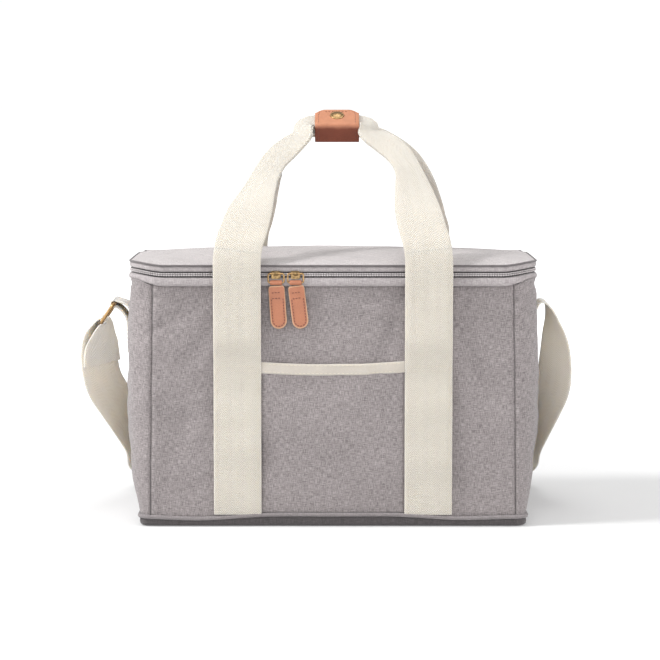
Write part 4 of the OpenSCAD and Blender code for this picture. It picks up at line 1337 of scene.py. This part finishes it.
SLIDERS = (("left", -47.5, 4.0), ("right", -31.2, 7.0))
PLATE_Y, RING_Y, BAIL_Z, BAR_Z = -112.5, -115.0, 213.5, 206.0


def slider(label, x):
    """Cast slider: a nosed plate with side flanges and an arched bridge for the ring."""
    mid_z, mid_y = 212.5, PLATE_Y - 0.7
    nose = [(-4.2, -1.9), (-3.4, -2.6), (2.4, -2.8), (3.9, -1.7), (4.3, 0), (3.9, 1.7),
            (2.4, 2.8), (-3.4, 2.6), (-4.2, 1.9), (-4.5, 0)]
    parts = [slab_parts([(x + a, mid_y, mid_z + b) for a, b in nose], -Y, 1.4, 0.45)]
    for up in (-1, 1):
        rail = [(-3.8, 2.4), (2.1, 2.5), (3.4, 1.7), (3.7, 2.2), (2.4, 3.2), (-3.8, 3.1)]
        parts.append(slab_parts([(x + a, mid_y + 0.15, mid_z + b * up) for a, b in rail],
                                -Y, 1.6, 0.25))
    rows = [[x, RING_Y - 1.25 * math.cos(a), BAIL_Z + 1.3 * math.sin(a), *X, 3.6, 0.62, 0]
            for a in np.radians(np.linspace(-150, 150, 17))]
    parts.append(tube_parts(strip_rings(rows)))
    # darker brass, partly painted shade for the dark inside of the open bridge
    shape(label + "_slider_casting", *joined(parts), SHADED_DARK_BRASS, label + "_slider",
          ["slider_" + label], "brass")


def leather_pull(label, x, lean):
    """Rounded tag hung from a loop round the ring's lower wire, sewn round its edge."""
    turn = math.radians(lean)
    down = np.array((math.sin(turn), 0, -math.cos(turn)))
    across = np.array((math.cos(turn), 0, math.sin(turn)))
    bar = np.array((x, RING_Y, BAR_Z))
    half, length, neck = 6.75, 38.5, 10.0

    def at(a, s):
        return bar + across * a + down * s

    def round_end(inset, steps):
        r = half - inset
        return [at(r * math.cos(q), length - half + r * math.sin(q))
                for q in np.radians(np.linspace(0, 180, steps))]

    ring = [at(half - 1.4, 2.6), at(half - .3, 3.8), at(half, 6), *round_end(0, 19)]
    ring += [at(-half, 6), at(-half + .3, 3.8), at(1.4 - half, 2.6)]
    middle = sum(ring) / len(ring)

    def slab(grow, thickness, bevel):
        return slab_parts([p + unit(p - middle) * grow for p in ring[::-1]], -Y, thickness, bevel)

    rows = [[x, RING_Y - 1.62 * math.cos(q), BAR_Z + 1.62 * math.sin(q), *X, neck, 1.05, 0]
            for q in np.radians(np.linspace(-62, 242, 20))]
    parts = [slab(-0.75, 2.4, 0.4), tube_parts(strip_rings(rows))]
    shape(label + "_leather_pull", *joined(parts), LEATHER, label + "_pull", ["pull_" + label],
          "leather")
    shape(label + "_pull_edge_paint", *slab(0.1, 2.0, 0.3), EDGE_PAINT, label + "_pull",
          slot="leather")
    inset, sewn = 1.9, []
    edge = [at(half - inset, 13), *round_end(inset, 15), at(inset - half, 13),
            at(inset - half, 12)]
    for face in (-1, 1):
        for line, radius in ((edge, 0.42), ([at(-4.6, 13), at(4.8, 13)], 0.4),
                             ([at(-4.6, 8.2), at(4.8, 8.2)], 0.4)):
            sewn += stitch_parts([p + face * 1.2 * Y for p in line], face * Y, radius, 1.9, 0.6)
    shape(label + "_pull_stitches", *joined(sewn), TAN_THREAD, label + "_pull", slot="leather")


def plain_metal(node):
    """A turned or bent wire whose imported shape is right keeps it, with its own finish."""
    for slot in NODES[node].material_slots:
        slot.material = BRASS


for label, x, lean in SLIDERS:
    slider(label, x)
    leather_pull(label, x, lean)
    plain_metal("pull_ring_" + label)
plain_metal("strap_ring")

# ---------------------------------------------------------------- side tab and strap ends

RING_BAR = np.array((-190.4, 0, 181.0))      # upper bar of the strap's ring


def strap_stitches(x, crossings, uprights, facing):
    """Rows sewn across a strap, as pairs of x and height, and one row up each edge."""
    lines = [[(at, y, z) for y in np.linspace(-17, 17, 12)] for at, z in crossings]
    lines += [[(x, y, z) for z in uprights] for y in (-16.5, 16.5)]
    return [part for line in lines for part in stitch_parts(line, facing)]


def side_tab():
    """Webbing doubled on the side panel, with its fold round the ring's upper bar."""
    x0 = -(max(side_reach(z) + 2.4 for z in (145, 155, 165)))
    r = 2.95                # half the wire, a little play and half the webbing
    rows = [[x0 - 2.9, 0, 141], [x0 - 2.95, 0, 150], [x0 - 3.1, 0, 160], [x0 - 4.3, 0, 168],
            [x0 - 8.2, 0, 174.2]]
    for q in np.radians(np.linspace(-128, 118, 15)):
        rows.append([RING_BAR[0] - r * math.cos(q), 0, RING_BAR[2] + r * math.sin(q)])
    rows += [[x0 - 4.6, 0, 180.4], [x0 - 1.3, 0, 174.5], [x0 - 0.6, 0, 167], [x0 - 0.45, 0, 158],
             [x0 - 0.45, 0, 148], [x0 - 0.45, 0, 140.4]]
    path = catmull(rows, 3)
    rows = [[*p, 0, 1, 0, STRAP_W, 1.9, 0] for p in path]
    tube("ring_tab_webbing", strip_rings(rows), LIT_STRAP_WEBBING, "bag", ["side_tab"], "webbing")
    out = x0 - 2.9 - 0.95
    sewn = strap_stitches(out, ((out, 143), (out, 146), (out - 0.3, 163.5)),
                          np.linspace(142, 163, 10), -X)
    fray = []
    for k, y in enumerate(np.linspace(-18.6, 18.6, 42)):
        drift = wobble(k * 3.7, 0, 0, 1.9, 4.2)
        c = np.array((out + 0.9, y, 141.6))
        tip = c + np.array((-0.7 + 0.6 * drift, 0.7 * drift, -2.6 - 1.3 * abs(drift)))
        fray.append(tube_parts([circle(c + (tip - c) * f, 0.28 * s, X, Y, 5)
                                for f, s in ((0, 1), (.5, .9), (1, .3))]))
    shape("ring_tab_stitches", *joined(sewn + fray), THREAD, "bag", slot="webbing")
    x = STRAP_ROUTE[0][0] + STRAP_T / 2 + 0.05
    sewn = strap_stitches(x, ((x, 142.5), (x, 148), (x, 156)), np.linspace(142, 156, 7), X)
    shape("strap_end_stitches", *joined(sewn), THREAD, "bag", slot="webbing")


side_tab()
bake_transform(strap_piece)

# ---------------------------------------------------------------- room


def room():
    mesh = bpy.data.meshes.new("floor")
    mesh.from_pydata([(-60, -60, 0), (60, -60, 0), (60, 60, 0), (-60, 60, 0)], [], [(0, 1, 2, 3)])
    floor = add_object("floor", mesh)
    made, t, shader, coords = new_material("studio_floor", Roughness=0.95, Specular_IOR_Level=0.0)
    shader["Base Color"].default_value = rgb(.66, .66, .66)
    far = t.node("ShaderNodeVectorMath", operation="LENGTH")
    t.put(coords["Object"], far.inputs[0])
    glow = t.ramp(far.outputs["Value"], 0.35, 1.5)
    t.put(t.mix(glow, rgb(.2, .2, .2), rgb(1, 1, 1)), shader["Emission Color"])
    looked_at = t.node("ShaderNodeLightPath").outputs["Is Camera Ray"]
    t.put(t.add(0.12, t.times(looked_at, 0.9)), shader["Emission Strength"])
    mesh.materials.append(made)
    world = bpy.data.worlds.new("studio")
    world.use_nodes = True
    t = Tree(world.node_tree)
    seen = t.node("ShaderNodeLightPath").outputs["Is Camera Ray"]
    strength = t.add(0.36, t.times(seen, 0.66))
    t.put(strength, world.node_tree.nodes["Background"].inputs["Strength"])
    world.node_tree.nodes["Background"].inputs["Color"].default_value = rgb(1, 1, 1)
    bpy.context.scene.world = world
    for name, place, target, size, power in (
            ("key", (-1.8, -0.6, 2.1), (0, 0, .1), 0.6, 48),
            ("top", (0.1, 0.1, 2.6), (0, 0, .1), 1.6, 21),
            ("left", (-2.4, -0.6, 0.7), (0, 0, .12), 1.6, 32),
            ("right", (2.4, -0.9, 0.7), (0, 0, .12), 1.6, 34),
            ("front", (0.0, -2.8, 0.7), (0, 0, .12), 1.6, 34)):
        light = bpy.data.lights.new(name, "AREA")
        light.size = size
        light.energy = power
        lamp = add_object(name, light)
        lamp.location = place
        direction = Vector(target) - Vector(place)
        lamp.rotation_euler = direction.to_track_quat("-Z", "Y").to_euler()
    bpy.context.scene.view_settings.view_transform = "Standard"


room()
